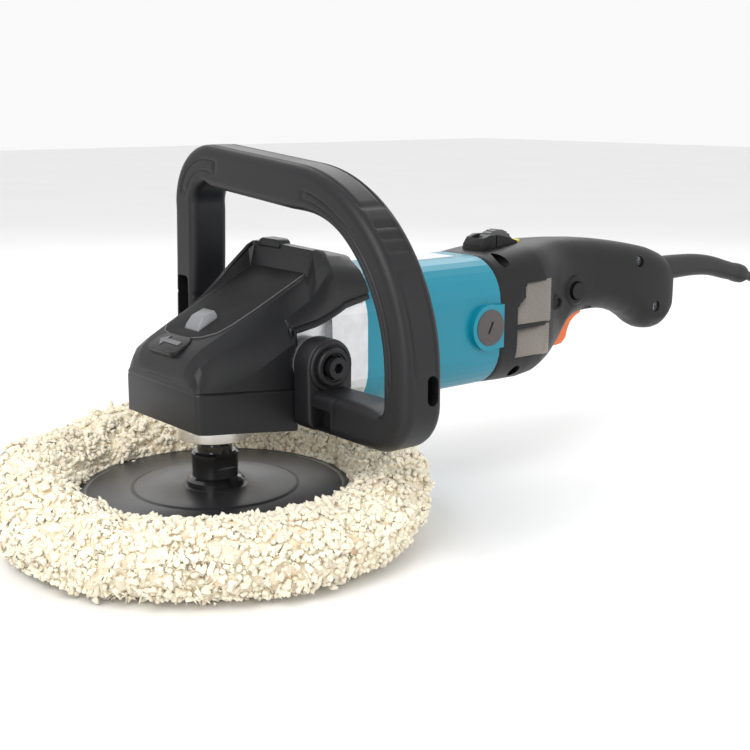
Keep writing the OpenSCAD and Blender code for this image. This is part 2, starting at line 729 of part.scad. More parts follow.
module handle_form(inset = 0) {
    intersection() {
        along_y(-50, 50) offset(delta = -inset) polygon(handle_side);
        translate([0, 0, 50]) linear_extrude(140) offset(delta = -inset)
            polygon(concat([for (p = handle_plan) [p[0], -p[1]]], reversed(handle_plan)));
        along_x(handle_x[0] - 1, handle_x[1] + 1) motor_like(inset);
    }
}
module motor_like(inset) {
    translate([0, 120]) polygon(round_rect(92 - 2 * inset, 104 - 2 * inset, corner_r));
}

module handle_shell() {
    difference() {
        union() {
            difference() {
                handle_form();
                difference() {
                    union() {
                        handle_form(shell_t);
                        block([200, 210], [-38, 38], [78, 158]);
                    }
                    for (s = handle_screw_xz) rod_y(5, -60, 60, s[0], s[1]);
                }
            }
            intersection() {
                along_y(-12, 12) polygon([[211, 160], [214, 168], [224, 176.5], [232, 177], [262, 168.6], [262, 160]]);
                block([205.3, 270], [-12, 12], [163, 180]);
            }
        }
        block([213, 262], [-9.6, 9.6], [135, 173]);
        block([222, 259.5], [-5, 5], [135, 181]);
        difference() {
            rod_y(trigger_reach + 0.8, -8.6, 8.6, trigger_pivot[0], trigger_pivot[1]);
            block([270, 380], [-20, 20], [trigger_pivot[1], 200]);
            block([trigger_pivot[0] + 2, 380], [-20, 20], [60, 200]);
        }
        rod_x(10.3, 420, 440, guard_route[0][2]);
        both_sides() block(vent_x, [36, 50], vent_z);
        for (s = handle_screw_xz) rod_y(2.1, -30, 30, s[0], s[1]);
    }
}

module handle_shell_left() {
    color("#29292c") union() {
        difference() {
            intersection() {
                handle_shell();
                block([200, 450], [-60, 0], [50, 200]);
            }
            for (s = handle_screw_xz) rod_y(4.4, -60, -13, s[0], s[1]);
            rod_y(6.1, -40, -10, button_xz[0], button_xz[1]);
        }
        difference() {
            rod_y(10.5, -24, -18.5, button_xz[0], button_xz[1]);
            rod_y(6.1, -40, -10, button_xz[0], button_xz[1]);
        }
    }
}

module handle_shell_right() {
    color("#29292c") intersection() {
        handle_shell();
        block([200, 450], [0, 60], [50, 200]);
    }
}

module handle_screws() {
    color("#77787c") for (s = handle_screw_xz) {
        rod_y(2, -13, 12, s[0], s[1]);
        difference() {
            rod_y(4, -16, -13, s[0], s[1]);
            block([s[0] - 3, s[0] + 3], [-17, -15], [s[1] - 0.5, s[1] + 0.5]);
            block([s[0] - 0.5, s[0] + 0.5], [-17, -15], [s[1] - 3, s[1] + 3]);
        }
    }
}

module vent_grilles() {
    pitch = 4.5;
    color("#8b8680") both_sides() difference() {
        block([vent_x[0] + 0.1, vent_x[1] - 0.1], [40, 41.2], [vent_z[0] + 0.1, vent_z[1] - 0.1]);
        for (z = [vent_z[0] + 4:pitch:vent_z[1] - 3]) block([vent_x[0] + 2, vent_x[1] - 2], [39, 42], [z, z + 1.6]);
    }
}

module trigger() {
    hub_r = 4.4;
    color("#e0662a") difference() {
        union() {
            along_y(-8, 8) polygon(concat(
                arc(trigger_pivot, trigger_reach, 200, 222, 6),
                [[300, 86.5], [307, 87.5], [311.5, 91.5], [313, 97], [316, 103], [321, 107], [327, 109.5],
                 [328.5, 114], [326, 121], [316, 119], [302, 113]]));
            rod_y(hub_r, -8, 8, trigger_pivot[0], trigger_pivot[1]);
        }
        rod_y(2 + running_fit, -9, 9, trigger_pivot[0], trigger_pivot[1]);
    }
}

module trigger_pin() {
    color("silver") rod_y(2, -14, 14, trigger_pivot[0], trigger_pivot[1]);
}

module switch_body() {
    color("#1d1d20") difference() {
        union() {
            block([300, 350], [-10, 10], [123.5, 150]);
            both_sides() block([322, 334], [9, 13], [113, 125]);
        }
        rod_y(2, -20, 20, trigger_pivot[0], trigger_pivot[1]);
        rod_y(5.2, -11, -6.2, button_xz[0], button_xz[1]);
    }
}

module lock_button() {
    color("#1b1b1d") union() {
        rod_y(6.1 - running_fit, -25.5, -16, button_xz[0], button_xz[1]);
        rod_y(3, -16, -14.2, button_xz[0], button_xz[1]);
    }
}

module speed_dial() {
    grips = 26;
    color("#55575b") difference() {
        rod_y(dial_r, -4.2, 4.2, dial_axis[0], dial_axis[1]);
        rod_y(2 + running_fit, -5, 5, dial_axis[0], dial_axis[1]);
        for (i = [0:grips - 1]) translate([dial_axis[0], 0, dial_axis[1]]) rotate([0, i * 360 / grips, 0])
            rod_y(0.9, -5, 5, dial_r + 0.2, 0);
    }
}

module speed_controller() {
    color("#2f4a3a") union() {
        block([222, 262], [-26, 26], [104, 112]);
        both_sides() block([237, 245], [4.7, 7.4], [110, 166]);
        rod_y(2, -7, 7, dial_axis[0], dial_axis[1]);
    }
}

module cord_clamp() {
    color("#3a3a3d") difference() {
        block([404, 414], [-13, 13], [127, 141]);
        rod_x(cord_d / 2, 403, 415, guard_route[0][2]);
    }
}

// ---- Cord ----

module cord_guard() {
    color("#1c1c1e") tube_along(guard_route, guard_radii, 16);
}

module mains_cord() {
    color("#222224") tube_along(cord_route, cord_d / 2);
}

module cord_coil() {
    w = coil_r[1] - coil_r[0];
    h = coil_z[1] - coil_z[0];
    color("#222224") translate([coil_centre[0], coil_centre[1], coil_z[0] + h / 2]) rotate_extrude($fn = 64)
        translate([(coil_r[0] + coil_r[1]) / 2, 0]) polygon(round_rect(w, h, 4, 4));
}

module coil_tie() {
    gap = 0.1;
    color("#4a4a4d") translate([coil_centre[0], coil_centre[1], 0]) difference() {
        block([coil_r[0] - 1.2, coil_r[1] + 1.2], [-6, 6], [0, coil_z[1] + 1]);
        rotate([0, 0, -20]) rotate_extrude(angle = 40) translate([coil_r[0] - gap, coil_z[0] - gap])
            square([coil_r[1] - coil_r[0] + 2 * gap, coil_z[1] - coil_z[0] + 2 * gap]);
    }
}

plug_x = coil_centre[0] + coil_r[1] - 4;
plug_y = coil_centre[1] - 21.5;
plug_z = 21;

module plug() {
    color("#202022") translate([plug_x, plug_y, plug_z]) rotate([90, 0, 0]) union() {
        rotate_extrude($fn = 48) polygon([[0, 0], [5, 0], [6.5, 14], [9, 20], [0, 20]]);
        translate([0, 0, 19]) linear_extrude(22) polygon(round_rect(38, 26, 10));
        for (x = [-9.5, 9.5]) {
            translate([x, 0, 40]) cylinder(r = 2.2, h = 10);
            translate([x, 0, 50]) cylinder(r = 2.4, h = 9.5);
        }
    }
}

// ---- Loop handle ----

loop_path = concat(
    [leg_foot, leg_top],
    arc([48.5, 202], 26.5, 8, 95, 8),
    arc(loop_arc_centre, loop_r, 95, 180, 16),
    arc([loop_arc_centre[0] - loop_r + 15, arm_z + 15], 15, 180, 270, 6),
    [[-lug_y[0] - 0.2, arm_z]]);
function side_of(p, d) = [for (i = [0:len(p) - 1])
    let (t = unit(p[min(i + 1, len(p) - 1)] - p[max(i - 1, 0)])) p[i] + d * [t[1], -t[0]]];
module loop_outline(t) {
    polygon(concat(side_of(loop_path, t / 2), reversed(side_of(loop_path, -t / 2))));
}

// The grip's inner side comes closer to the path down the left side, where the handle is thinner
inner_half = concat(
    [10.5, 10.5],
    [for (i = [0:8]) 10.5 + 3 * i / 8],
    [for (i = [0:16]) 13.5 - 6 * min(1, i / 9)],
    [for (i = [0:6]) 7.5 + 3.5 * i / 6],
    [11]);
function inner_side(p) = [for (i = [0:len(p) - 1])
    let (t = unit(p[min(i + 1, len(p) - 1)] - p[max(i - 1, 0)])) p[i] - inner_half[i] * [t[1], -t[0]]];
module grip_outline() {
    polygon(concat(side_of(loop_path, grip_t / 2), reversed(inner_side(loop_path))));
}

core_half = 5;
leg_joint_z = 157;
leg_joint_y = 40;
arm_joint_y = -74;

// The grip ends at its joints with the two end brackets
module grip_part() {
    block([0, 90], [-160, leg_joint_y], [60, 250]);
    block([0, 90], [leg_joint_y, 120], [leg_joint_z, 250]);
}
module grip_region() {
    difference() {
        grip_part();
        block([-1, 91], [arm_joint_y, leg_joint_y], [60, 130]);
    }
}

module loop_handle_core() {
    color("#8c8e92") difference() {
        along_x(lug_x - core_half, lug_x + core_half) loop_outline(2 * core_half);
        rod_y(7.5, lug_y[1], 110, lug_x, lug_z);
    }
}

module loop_handle_form() {
    half = grip_depth / 2;
    difference() {
        along_x(lug_x - half, lug_x + half) grip_outline();
        along_x(lug_x - core_half, lug_x + core_half) loop_outline(2 * core_half);
    }
}

module loop_handle_grip() {
    color("#343437") intersection() {
        loop_handle_form();
        grip_region();
    }
}

module loop_bracket(side) {
    half = grip_depth / 2;
    color("#2c2c2f") difference() {
        union() {
            difference() {
                loop_handle_form();
                grip_region();
                block([0, 90], side > 0 ? [-160, 0] : [0, 120], [60, 250]);
            }
            difference() {
                union() {
                    rod_y(lug_r, side > 0 ? lug_y[0] : -lug_y[1], side > 0 ? lug_y[1] : -lug_y[0], lug_x, lug_z);
                    if (side < 0) block([lug_x - half, lug_x + half], [-lug_y[1], -lug_y[0]],
                        [arm_z - grip_t / 2, lug_z]);
                    if (side > 0) block([lug_x - half, lug_x + half], [lug_y[0], leg_foot[0]],
                        [leg_foot[1], lug_z + 12]);
                }
                along_x(lug_x - core_half, lug_x + core_half) loop_outline(2 * core_half);
            }
        }
        rod_y(4, -90, 90, lug_x, lug_z);
        both_sides() rod_y(7.5, lug_y[1], 110, lug_x, lug_z);
    }
}

module loop_bracket_left() {
    loop_bracket(-1);
}

module loop_bracket_right() {
    loop_bracket(1);
}

module loop_handle_bolts() {
    color("#17171a") both_sides() {
        rod_y(4, 39, lug_y[1], lug_x, lug_z);
        difference() {
            rod_y(6.5, lug_y[1], lug_y[1] + 8, lug_x, lug_z);
            translate([lug_x, lug_y[1] + 9, lug_z]) rotate([90, 0, 0]) cylinder(r = 3.4, h = 5, $fn = 6);
        }
    }
}

wool_pad();
hook_disc();
backing_pad();
pad_lock_nut();
pad_hub();
spindle();
spindle_gear();
lower_spindle_bearing();
upper_spindle_bearing();
nose_seal();
bearing_box();
bearing_box_screws();
intermediate_shaft();
spur_pinion();
bevel_gear();
intermediate_bearings();
armature_shaft();
bevel_pinion();
armature_core();
armature_windings();
commutator();
cooling_fan();
armature_bearings();
stator_core();
field_coils();
fan_baffle();
motor_housing();
motor_screws();
brush_holders();
carbon_brushes();
brush_caps();
name_plate();
gear_housing();
bearing_plate();
head_cover();
cover_panel();
shaft_lock_button();
shaft_lock_pin();
shaft_lock_spring();
handle_shell_left();
handle_shell_right();
handle_screws();
vent_grilles();
trigger();
trigger_pin();
switch_body();
lock_button();
speed_dial();
speed_controller();
cord_clamp();
cord_guard();
mains_cord();
cord_coil();
coil_tie();
plug();
loop_handle_core();
loop_handle_grip();
loop_bracket_left();
loop_bracket_right();
loop_handle_bolts();
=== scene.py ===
# Visual model of a two-handed rotary polisher.
# Lengths in this file are in millimetres unless they say otherwise.
import math
import random

import bmesh
import bpy
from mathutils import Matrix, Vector, noise


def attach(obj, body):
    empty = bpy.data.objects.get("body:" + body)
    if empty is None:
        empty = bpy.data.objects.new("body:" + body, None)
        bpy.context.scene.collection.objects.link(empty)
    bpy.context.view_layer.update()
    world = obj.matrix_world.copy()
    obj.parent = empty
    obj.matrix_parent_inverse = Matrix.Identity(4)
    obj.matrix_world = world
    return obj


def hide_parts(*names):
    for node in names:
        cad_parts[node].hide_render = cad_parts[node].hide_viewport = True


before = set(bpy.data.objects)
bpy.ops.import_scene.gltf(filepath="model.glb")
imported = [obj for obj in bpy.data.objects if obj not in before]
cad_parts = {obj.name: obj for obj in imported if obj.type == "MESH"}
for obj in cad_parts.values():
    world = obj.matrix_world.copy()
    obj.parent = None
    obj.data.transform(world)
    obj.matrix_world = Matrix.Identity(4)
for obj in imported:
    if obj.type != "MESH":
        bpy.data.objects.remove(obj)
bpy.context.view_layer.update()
MM = 0.001
SIDES = ((-1, "left"), (1, "right"))
random.seed(7)
scene = bpy.context.scene

# ---------------------------------------------------------------- helpers


def vec(p):
    """A point in metres."""
    return Vector(p) * MM


def add_mesh(name, points, faces, mat, sharp=35):
    """A mesh object from points in millimetres, smooth except at edges sharper than the angle."""
    me = bpy.data.meshes.new(name)
    me.from_pydata([tuple(c * MM for c in p) for p in points], [], faces)
    bm = bmesh.new()
    bm.from_mesh(me)
    bmesh.ops.remove_doubles(bm, verts=bm.verts, dist=1e-6)
    bmesh.ops.recalc_face_normals(bm, faces=bm.faces)
    bm.to_mesh(me)
    bm.free()
    obj = bpy.data.objects.new(name, me)
    scene.collection.objects.link(obj)
    me.materials.append(mat)
    smooth(obj, sharp)
    return obj


def smooth(obj, sharp=35):
    """Smooth shading, except at edges sharper than the angle."""
    obj.data.shade_smooth()
    obj.data.set_sharp_from_angle(angle=math.radians(sharp))


def apply_mods(obj):
    """Turns the object's modifiers into its mesh."""
    dg = bpy.context.evaluated_depsgraph_get()
    me = bpy.data.meshes.new_from_object(obj.evaluated_get(dg))
    obj.modifiers.clear()
    old = obj.data
    obj.data = me
    bpy.data.meshes.remove(old)


def add_bevel(obj, width, segments, angle):
    """A modifier that rounds every edge sharper than the angle."""
    m = obj.modifiers.new("bevel", "BEVEL")
    m.width = width * MM
    m.segments = segments
    m.limit_method = "ANGLE"
    m.angle_limit = math.radians(angle)


def bevel(obj, width, segments, angle):
    """Rounds every edge sharper than the angle."""
    add_bevel(obj, width, segments, angle)
    apply_mods(obj)
    smooth(obj, 38)


def cut(obj, cutters, keep=False):
    """Cuts other objects out of obj, and removes them unless they are kept."""
    for c in cutters:
        m = obj.modifiers.new("cut", "BOOLEAN")
        m.operation = "DIFFERENCE"
        m.solver = "EXACT"
        m.object = c
        apply_mods(obj)
    if not keep:
        for c in cutters:
            bpy.data.objects.remove(c)


def loft(name, rings, mat, sharp=35):
    """A closed skin over rings of equal length, with a flat face at both ends."""
    n = len(rings[0])
    pts = [p for r in rings for p in r]
    faces = []
    for i in range(len(rings) - 1):
        for k in range(n):
            a, b = i * n + k, i * n + (k + 1) % n
            faces.append((a, b, b + n, a + n))
    faces.append(tuple(range(n)))
    faces.append(tuple((len(rings) - 1) * n + k for k in range(n)))
    return add_mesh(name, pts, faces, mat, sharp)


def lathe(name, profile, mat, steps=96, origin=(0, 0, 0), axis="Z", sharp=30):
    """A closed (radius, height) outline turned about an axis through the origin point."""
    rings = []
    for i in range(steps):
        a = math.tau * i / steps
        ring = []
        for r, h in profile:
            u, v = r * math.cos(a), r * math.sin(a)
            p = {"Z": (u, v, h), "X": (h, u, v), "Y": (u, h, v)}[axis]
            ring.append(tuple(p[j] + origin[j] for j in range(3)))
        rings.append(ring)
    n = len(profile)
    pts = [p for r in rings for p in r]
    faces = []
    for i in range(steps):
        j = (i + 1) % steps
        for k in range(n):
            m = (k + 1) % n
            faces.append((i * n + k, i * n + m, j * n + m, j * n + k))
    return add_mesh(name, pts, faces, mat, sharp)


def place(axis, a, b, d):
    """The point with outline coordinates a and b at depth d along an axis."""
    return {"X": (d, a, b), "Y": (a, d, b), "Z": (a, b, d)}[axis]


def prism(name, outline, depth, mat, axis="Y", sharp=35):
    """A flat outline pushed from depth[0] to depth[1] along an axis."""
    rings = [[place(axis, a, b, d) for a, b in outline] for d in depth]
    return loft(name, rings, mat, sharp=sharp)


def block(name, x, y, z, mat):
    """A box from its ranges along the three axes."""
    return prism(name, [(x[0], y[0]), (x[1], y[0]), (x[1], y[1]), (x[0], y[1])], z, mat, "Z")


def arc(cx, cy, r, a0, a1, n):
    """Points of n equal steps round a centre, from angle a0 to a1 in degrees."""
    angles = [math.radians(a0 + (a1 - a0) * i / n) for i in range(n + 1)]
    return [(cx + r * math.cos(a), cy + r * math.sin(a)) for a in angles]


def round_rect(w, h, r, n=8, cx=0, cy=0):
    """The outline of a rectangle with round corners about its middle."""
    x, y = w / 2 - r, h / 2 - r
    pts = []
    for i, (a, b) in enumerate([(x, y), (-x, y), (-x, -y), (x, -y)]):
        pts += arc(a, b, r, 90 * i, 90 * i + 90, n)
    return [(a + cx, b + cy) for a, b in pts]


def interp(table, x):
    """Linear reading of rows (x, value, ...)."""
    if x <= table[0][0]:
        return table[0][1:]
    for a, b in zip(table, table[1:]):
        if x <= b[0]:
            t = (x - a[0]) / (b[0] - a[0])
            return tuple(p + (q - p) * t for p, q in zip(a[1:], b[1:]))
    return table[-1][1:]


def ease(t):
    """A soft step from 0 to 1."""
    t = max(0.0, min(1.0, t))
    return t * t * (3 - 2 * t)


def smooth_line(points, step):
    """Points every step along a Catmull-Rom curve through the given ones."""
    p = [Vector(q) for q in points]
    p = [2 * p[0] - p[1]] + p + [2 * p[-1] - p[-2]]
    out = []
    for a, b, c, d in zip(p, p[1:], p[2:], p[3:]):
        n = max(1, round((c - b).length / step))
        for k in range(n):
            t = k / n
            first = (c - a) * t
            second = (2 * a - 5 * b + 4 * c - d) * t * t
            third = (3 * b - a - 3 * c + d) * t ** 3
            out.append(0.5 * (2 * b + first + second + third))
    out.append(p[-2])
    return out


def length_of(points):
    """Length of the line through the points."""
    return sum((b - a).length for a, b in zip(points, points[1:]))


def tube(name, points, radius, mat, sides=16, sharp=60):
    """A round tube along points. radius is a number or a function of the distance along it."""
    pts = [Vector(p) for p in points]
    rings = []
    u = None
    s = 0
    for i, p in enumerate(pts):
        t = (pts[min(i + 1, len(pts) - 1)] - pts[max(i - 1, 0)]).normalized()
        if u is None:
            u = t.orthogonal().normalized()
        u = (u - t * u.dot(t)).normalized()
        v = t.cross(u)
        if i:
            s += (p - pts[i - 1]).length
        r = radius(s) if callable(radius) else radius
        turn = [math.tau * k / sides for k in range(sides)]
        rings.append([tuple(p + r * (u * math.cos(a) + v * math.sin(a))) for a in turn])
    return loft(name, rings, mat, sharp=sharp)


def on(piece, body, replaces=()):
    """The piece rides on a body and stands for CAD nodes, which are hidden."""
    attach(piece, body)
    if replaces:
        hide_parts(*replaces)
    return piece


# ---------------------------------------------------------------- materials


def material(
    name,
    color,
    rough=0.5,
    metal=0.0,
    grain=(1500, 0.1),
    blotch=(25, 0.08),
    rough_var=0.06,
    coat=0.0,
    coat_rough=0.1,
    specular=0.5,
    second=None,
    second_scale=60,
    sheen=0.0,
    bump_far=0.00025,
):
    """A surface with fine grain in its bump and slow changes in its colour and roughness.

    grain and blotch are pairs of a noise scale and a strength. second is the colour of sparse spots.
    """
    m = bpy.data.materials.new(name)
    m.use_nodes = True
    nt = m.node_tree
    p = nt.nodes["Principled BSDF"]
    p.inputs["Metallic"].default_value = metal
    p.inputs["IOR"].default_value = 1.5
    p.inputs["Specular IOR Level"].default_value = specular
    p.inputs["Coat Weight"].default_value = coat
    p.inputs["Coat Roughness"].default_value = coat_rough
    p.inputs["Sheen Weight"].default_value = sheen
    coord = nt.nodes.new("ShaderNodeTexCoord")

    def noise_tex(scale, detail=4.0):
        n = nt.nodes.new("ShaderNodeTexNoise")
        n.inputs["Scale"].default_value = scale
        n.inputs["Detail"].default_value = detail
        nt.links.new(coord.outputs["Object"], n.inputs["Vector"])
        return n

    slow = noise_tex(blotch[0])
    ramp = nt.nodes.new("ShaderNodeValToRGB")
    lo = [c * (1 - blotch[1]) for c in color]
    hi = [min(1, c * (1 + blotch[1])) for c in color]
    ramp.color_ramp.elements[0].position = 0.35
    ramp.color_ramp.elements[1].position = 0.65
    ramp.color_ramp.elements[0].color = (*lo, 1)
    ramp.color_ramp.elements[1].color = (*hi, 1)
    nt.links.new(slow.outputs["Fac"], ramp.inputs["Fac"])
    colour_out = ramp.outputs["Color"]
    if second:
        spot = noise_tex(second_scale, 6)
        pick = nt.nodes.new("ShaderNodeValToRGB")
        pick.color_ramp.elements[0].position = 0.5
        pick.color_ramp.elements[1].position = 0.72
        mix = nt.nodes.new("ShaderNodeMix")
        mix.data_type = "RGBA"
        nt.links.new(spot.outputs["Fac"], pick.inputs["Fac"])
        nt.links.new(pick.outputs["Color"], mix.inputs["Factor"])
        nt.links.new(colour_out, mix.inputs["A"])
        mix.inputs["B"].default_value = (*second, 1)
        colour_out = mix.outputs["Result"]
    nt.links.new(colour_out, p.inputs["Base Color"])
    rr = nt.nodes.new("ShaderNodeMapRange")
    rr.inputs["To Min"].default_value = max(0.02, rough - rough_var)
    rr.inputs["To Max"].default_value = min(1, rough + rough_var)
    nt.links.new(slow.outputs["Fac"], rr.inputs["Value"])
    nt.links.new(rr.outputs["Result"], p.inputs["Roughness"])
    fine = noise_tex(grain[0], 3)
    bump = nt.nodes.new("ShaderNodeBump")
    bump.inputs["Strength"].default_value = grain[1]
    bump.inputs["Distance"].default_value = bump_far
    nt.links.new(fine.outputs["Fac"], bump.inputs["Height"])
    nt.links.new(bump.outputs["Normal"], p.inputs["Normal"])
    return m


HEAD = material(
    "head_plastic", (0.0065, 0.0067, 0.0078), 0.36, grain=(2600, 0.22), rough_var=0.05, specular=0.32)
PANEL = material("panel_gloss", (0.006, 0.006, 0.0065), 0.62, grain=(900, 0.08), specular=0.28)
HANDLE = material("handle_plastic", (0.0055, 0.0055, 0.0062), 0.44, grain=(2400, 0.3), specular=0.28)
GRIP = material(
    "grip_rubber", (0.0075, 0.0075, 0.0088), 0.45, grain=(2200, 0.3), rough_var=0.07, specular=0.34)
TEAL = material("blue_plastic", (0.0, 0.200, 0.285), 0.33, grain=(1800, 0.08), blotch=(18, 0.05))
ALU = material(
    "cast_aluminium", (0.62, 0.63, 0.64), 0.42, 1.0, grain=(1400, 0.25), blotch=(120, 0.06), rough_var=0.1)
BRIGHT = material("machined_aluminium", (0.72, 0.72, 0.73), 0.26, 1.0, grain=(500, 0.2), blotch=(80, 0.05))
STEEL = material("steel", (0.50, 0.51, 0.53), 0.28, 1.0, grain=(1600, 0.1), blotch=(150, 0.08))
DARK_STEEL = material("gear_steel", (0.25, 0.26, 0.28), 0.36, 1.0, grain=(1600, 0.15), blotch=(150, 0.1))
BOLT = material("black_bolt", (0.018, 0.018, 0.02), 0.34, 0.6, grain=(1800, 0.15))
HUB = material("gloss_hub", (0.008, 0.008, 0.009), 0.16, grain=(900, 0.04), coat=0.6, coat_rough=0.06)
PAD = material("pad_rubber", (0.014, 0.014, 0.016), 0.36, grain=(1500, 0.18), rough_var=0.08, specular=0.55)
RUBBER = material("rubber_black", (0.010, 0.010, 0.011), 0.55, grain=(1800, 0.3))
CORD = material("cord_rubber", (0.017, 0.017, 0.019), 0.46, grain=(1600, 0.25))
CAP = material("cap_plastic", (0.065, 0.055, 0.052), 0.42, grain=(1600, 0.2))
LABEL = material("label_silver", (0.60, 0.62, 0.65), 0.30, 0.35, grain=(900, 0.05), blotch=(200, 0.03))
BUTTON = material("button_grey", (0.20, 0.205, 0.215), 0.34, 0.25, grain=(1800, 0.15))
MESH = material("mesh_metal", (0.36, 0.33, 0.30), 0.42, 0.85, grain=(2500, 0.2))
ORANGE = material("trigger_orange", (0.80, 0.16, 0.03), 0.36, grain=(1800, 0.12))
DIAL = material("dial_grey", (0.085, 0.087, 0.092), 0.45, grain=(2000, 0.25))
YELLOW = material("mark_yellow", (0.72, 0.62, 0.03), 0.45, grain=(1800, 0.1))
COPPER = material("copper_wire", (0.48, 0.17, 0.06), 0.32, 1.0, grain=(1300, 0.5), blotch=(300, 0.15))
BRASS = material("brass_plate", (0.62, 0.42, 0.16), 0.3, 1.0, grain=(1300, 0.15))
CARBON = material("carbon", (0.03, 0.03, 0.03), 0.6, grain=(2500, 0.4))
CIRCUIT = material("circuit", (0.02, 0.09, 0.04), 0.4, grain=(700, 0.3))
HOOK = material("hook_tape", (0.03, 0.03, 0.03), 0.9, grain=(2500, 0.9))
LAMINATION = material("lamination", (0.30, 0.31, 0.33), 0.4, 1.0, grain=(2500, 0.4))
# Grey of the painted highlight along the glossy panel's edge, and also the arrow mark's own colour
EDGE_HIGHLIGHT_AND_ARROW = material("panel_edge_highlight", (0.10, 0.10, 0.105), 0.3, grain=(900, 0.05))
# The pile's skin lies in the hollows between the locks. It is a little darker and warmer than the tips, and
# it has sparse tan spots in the pile's shadow colour. Both are painted shade.
WOOL_WITH_PAINTED_SHADE = material(
    "wool_pile", (0.90, 0.80, 0.62), 0.92, grain=(900, 0.9), blotch=(45, 0.07), second=(0.80, 0.60, 0.38),
    second_scale=70, sheen=0.45, specular=0.15, bump_far=0.0012)
WOOL_TIP = material(
    "wool_tips", (0.95, 0.86, 0.68), 0.9, grain=(1200, 0.6), blotch=(60, 0.08), sheen=0.5, specular=0.12,
    bump_far=0.0008)

shader = WOOL_WITH_PAINTED_SHADE.node_tree.nodes["Principled BSDF"]
shader.inputs["Subsurface Weight"].default_value = 0.35
shader.inputs["Subsurface Scale"].default_value = 0.005
shader.inputs["Subsurface Radius"].default_value = (1.0, 0.75, 0.5)

# The look of each CAD node that is seen, or would be seen with the casings off
NODE_MATERIALS = {
    STEEL: "pad_lock_nut intermediate_shaft armature_shaft lower_spindle_bearing upper_spindle_bearing "
    "intermediate_bearings armature_bearings trigger_pin shaft_lock_pin shaft_lock_spring",
    DARK_STEEL: "spindle_gear spur_pinion bevel_gear bevel_pinion motor_screws handle_screws "
    "bearing_box_screws",
    ALU: "gear_housing bearing_plate loop_handle_core",
    BRIGHT: "bearing_box",
    BOLT: "loop_handle_bolts",
    RUBBER: "nose_seal coil_tie",
    COPPER: "armature_windings field_coils commutator",
    LAMINATION: "armature_core stator_core",
    HANDLE: "cooling_fan fan_baffle switch_body cord_clamp lock_button",
    BRASS: "brush_holders",
    CARBON: "carbon_brushes",
    CAP: "brush_caps",
    CIRCUIT: "speed_controller",
    HOOK: "hook_disc",
    HUB: "pad_hub spindle",
    TEAL: "motor_housing",
    LABEL: "name_plate",
    ORANGE: "trigger",
    DIAL: "speed_dial",
    BUTTON: "shaft_lock_button",
    PAD: "backing_pad",
    MESH: "vent_grilles",
    PANEL: "cover_panel",
}
for mat, names in NODE_MATERIALS.items():
    for name in names.split():
        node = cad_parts[name]
        if not node.material_slots:
            node.data.materials.append(mat)
        for s in node.material_slots:
            s.material = mat

# ---------------------------------------------------------------- camera, light, floor

CAMERA_PLACE = (-396.9, -649.8, 269.8)
CAMERA_LOOK = (0.6146, 0.7589, -0.2152)
SENSOR, LENS = 36, 59.904
FLOOR_HALF = 6000

cam = bpy.data.cameras.new("camera")
cam.sensor_width = SENSOR
cam.lens = LENS
cam_obj = bpy.data.objects.new("camera", cam)
scene.collection.objects.link(cam_obj)
cam_obj.location = vec(CAMERA_PLACE)
cam_obj.rotation_euler = Vector(CAMERA_LOOK).to_track_quat("-Z", "Y").to_euler()
cam.clip_start = 0.01
scene.camera = cam_obj


def area_light(name, spot, target, size, power):
    """A white rectangle of light at spot, turned to the target, both in metres."""
    light = bpy.data.lights.new(name, "AREA")
    light.shape = "RECTANGLE"
    light.size, light.size_y = size
    light.energy = power
    obj = bpy.data.objects.new(name, light)
    scene.collection.objects.link(obj)
    obj.location = spot
    obj.rotation_euler = (Vector(target) - Vector(spot)).to_track_quat("-Z", "Y").to_euler()


area_light("key", (-0.9, -0.5, 1.25), (0.1, 0, 0.1), (0.8, 0.8), 13)
area_light("fill", (0.5, -1.5, 0.7), (0.15, 0, 0.1), (1.2, 0.9), 4)
area_light("back", (0.9, 0.9, 1.0), (0.1, 0, 0.1), (1.2, 0.8), 6)
area_light("front", (-1.3, -0.9, 0.35), (0.0, 0, 0.08), (0.5, 0.4), 4)
world = bpy.data.worlds.new("world")
scene.world = world
world.use_nodes = True
world.node_tree.nodes["Background"].inputs["Color"].default_value = (1, 1, 1, 1)
world.node_tree.nodes["Background"].inputs["Strength"].default_value = 0.95
scene.view_settings.view_transform = "Standard"

FLOOR = material("floor", (0.86, 0.86, 0.86), 0.7, grain=(400, 0.02), blotch=(4, 0.01), specular=0.2)
floor_corners = [(x * FLOOR_HALF, y * FLOOR_HALF, 0) for x, y in ((-1, -1), (1, -1), (1, 1), (-1, 1))]
floor = add_mesh("floor", floor_corners, [(0, 1, 2, 3)], FLOOR)

# ---------------------------------------------------------------- cord

CORD_R = 4
# from the cord guard's end down to the coil
ROUTE = [
    (548, 0, 119), (558, 0, 116.5), (568, 0, 113), (579, 0, 106.5), (588, 0, 98), (595, -1, 88),
    (601, -2, 76), (606, -3, 63), (611, -5, 50), (616, -7, 38), (623, -10, 26), (631, -13, 16),
    (641, -16, 8.5),
]
# the coil's middle, the angle at which the route joins it, and its turns up to the plug's lead
COIL = (640, -70)
JOIN_ANGLE = 75
TURNS = 8 + JOIN_ANGLE / 360
# radii of the coil's turns and heights of its layers
OUTER, MIDDLE, INNER = 52, 44, 36
LOW, MID, HIGH = 5, 13, 21
PLUG = (692, -91.5, HIGH)


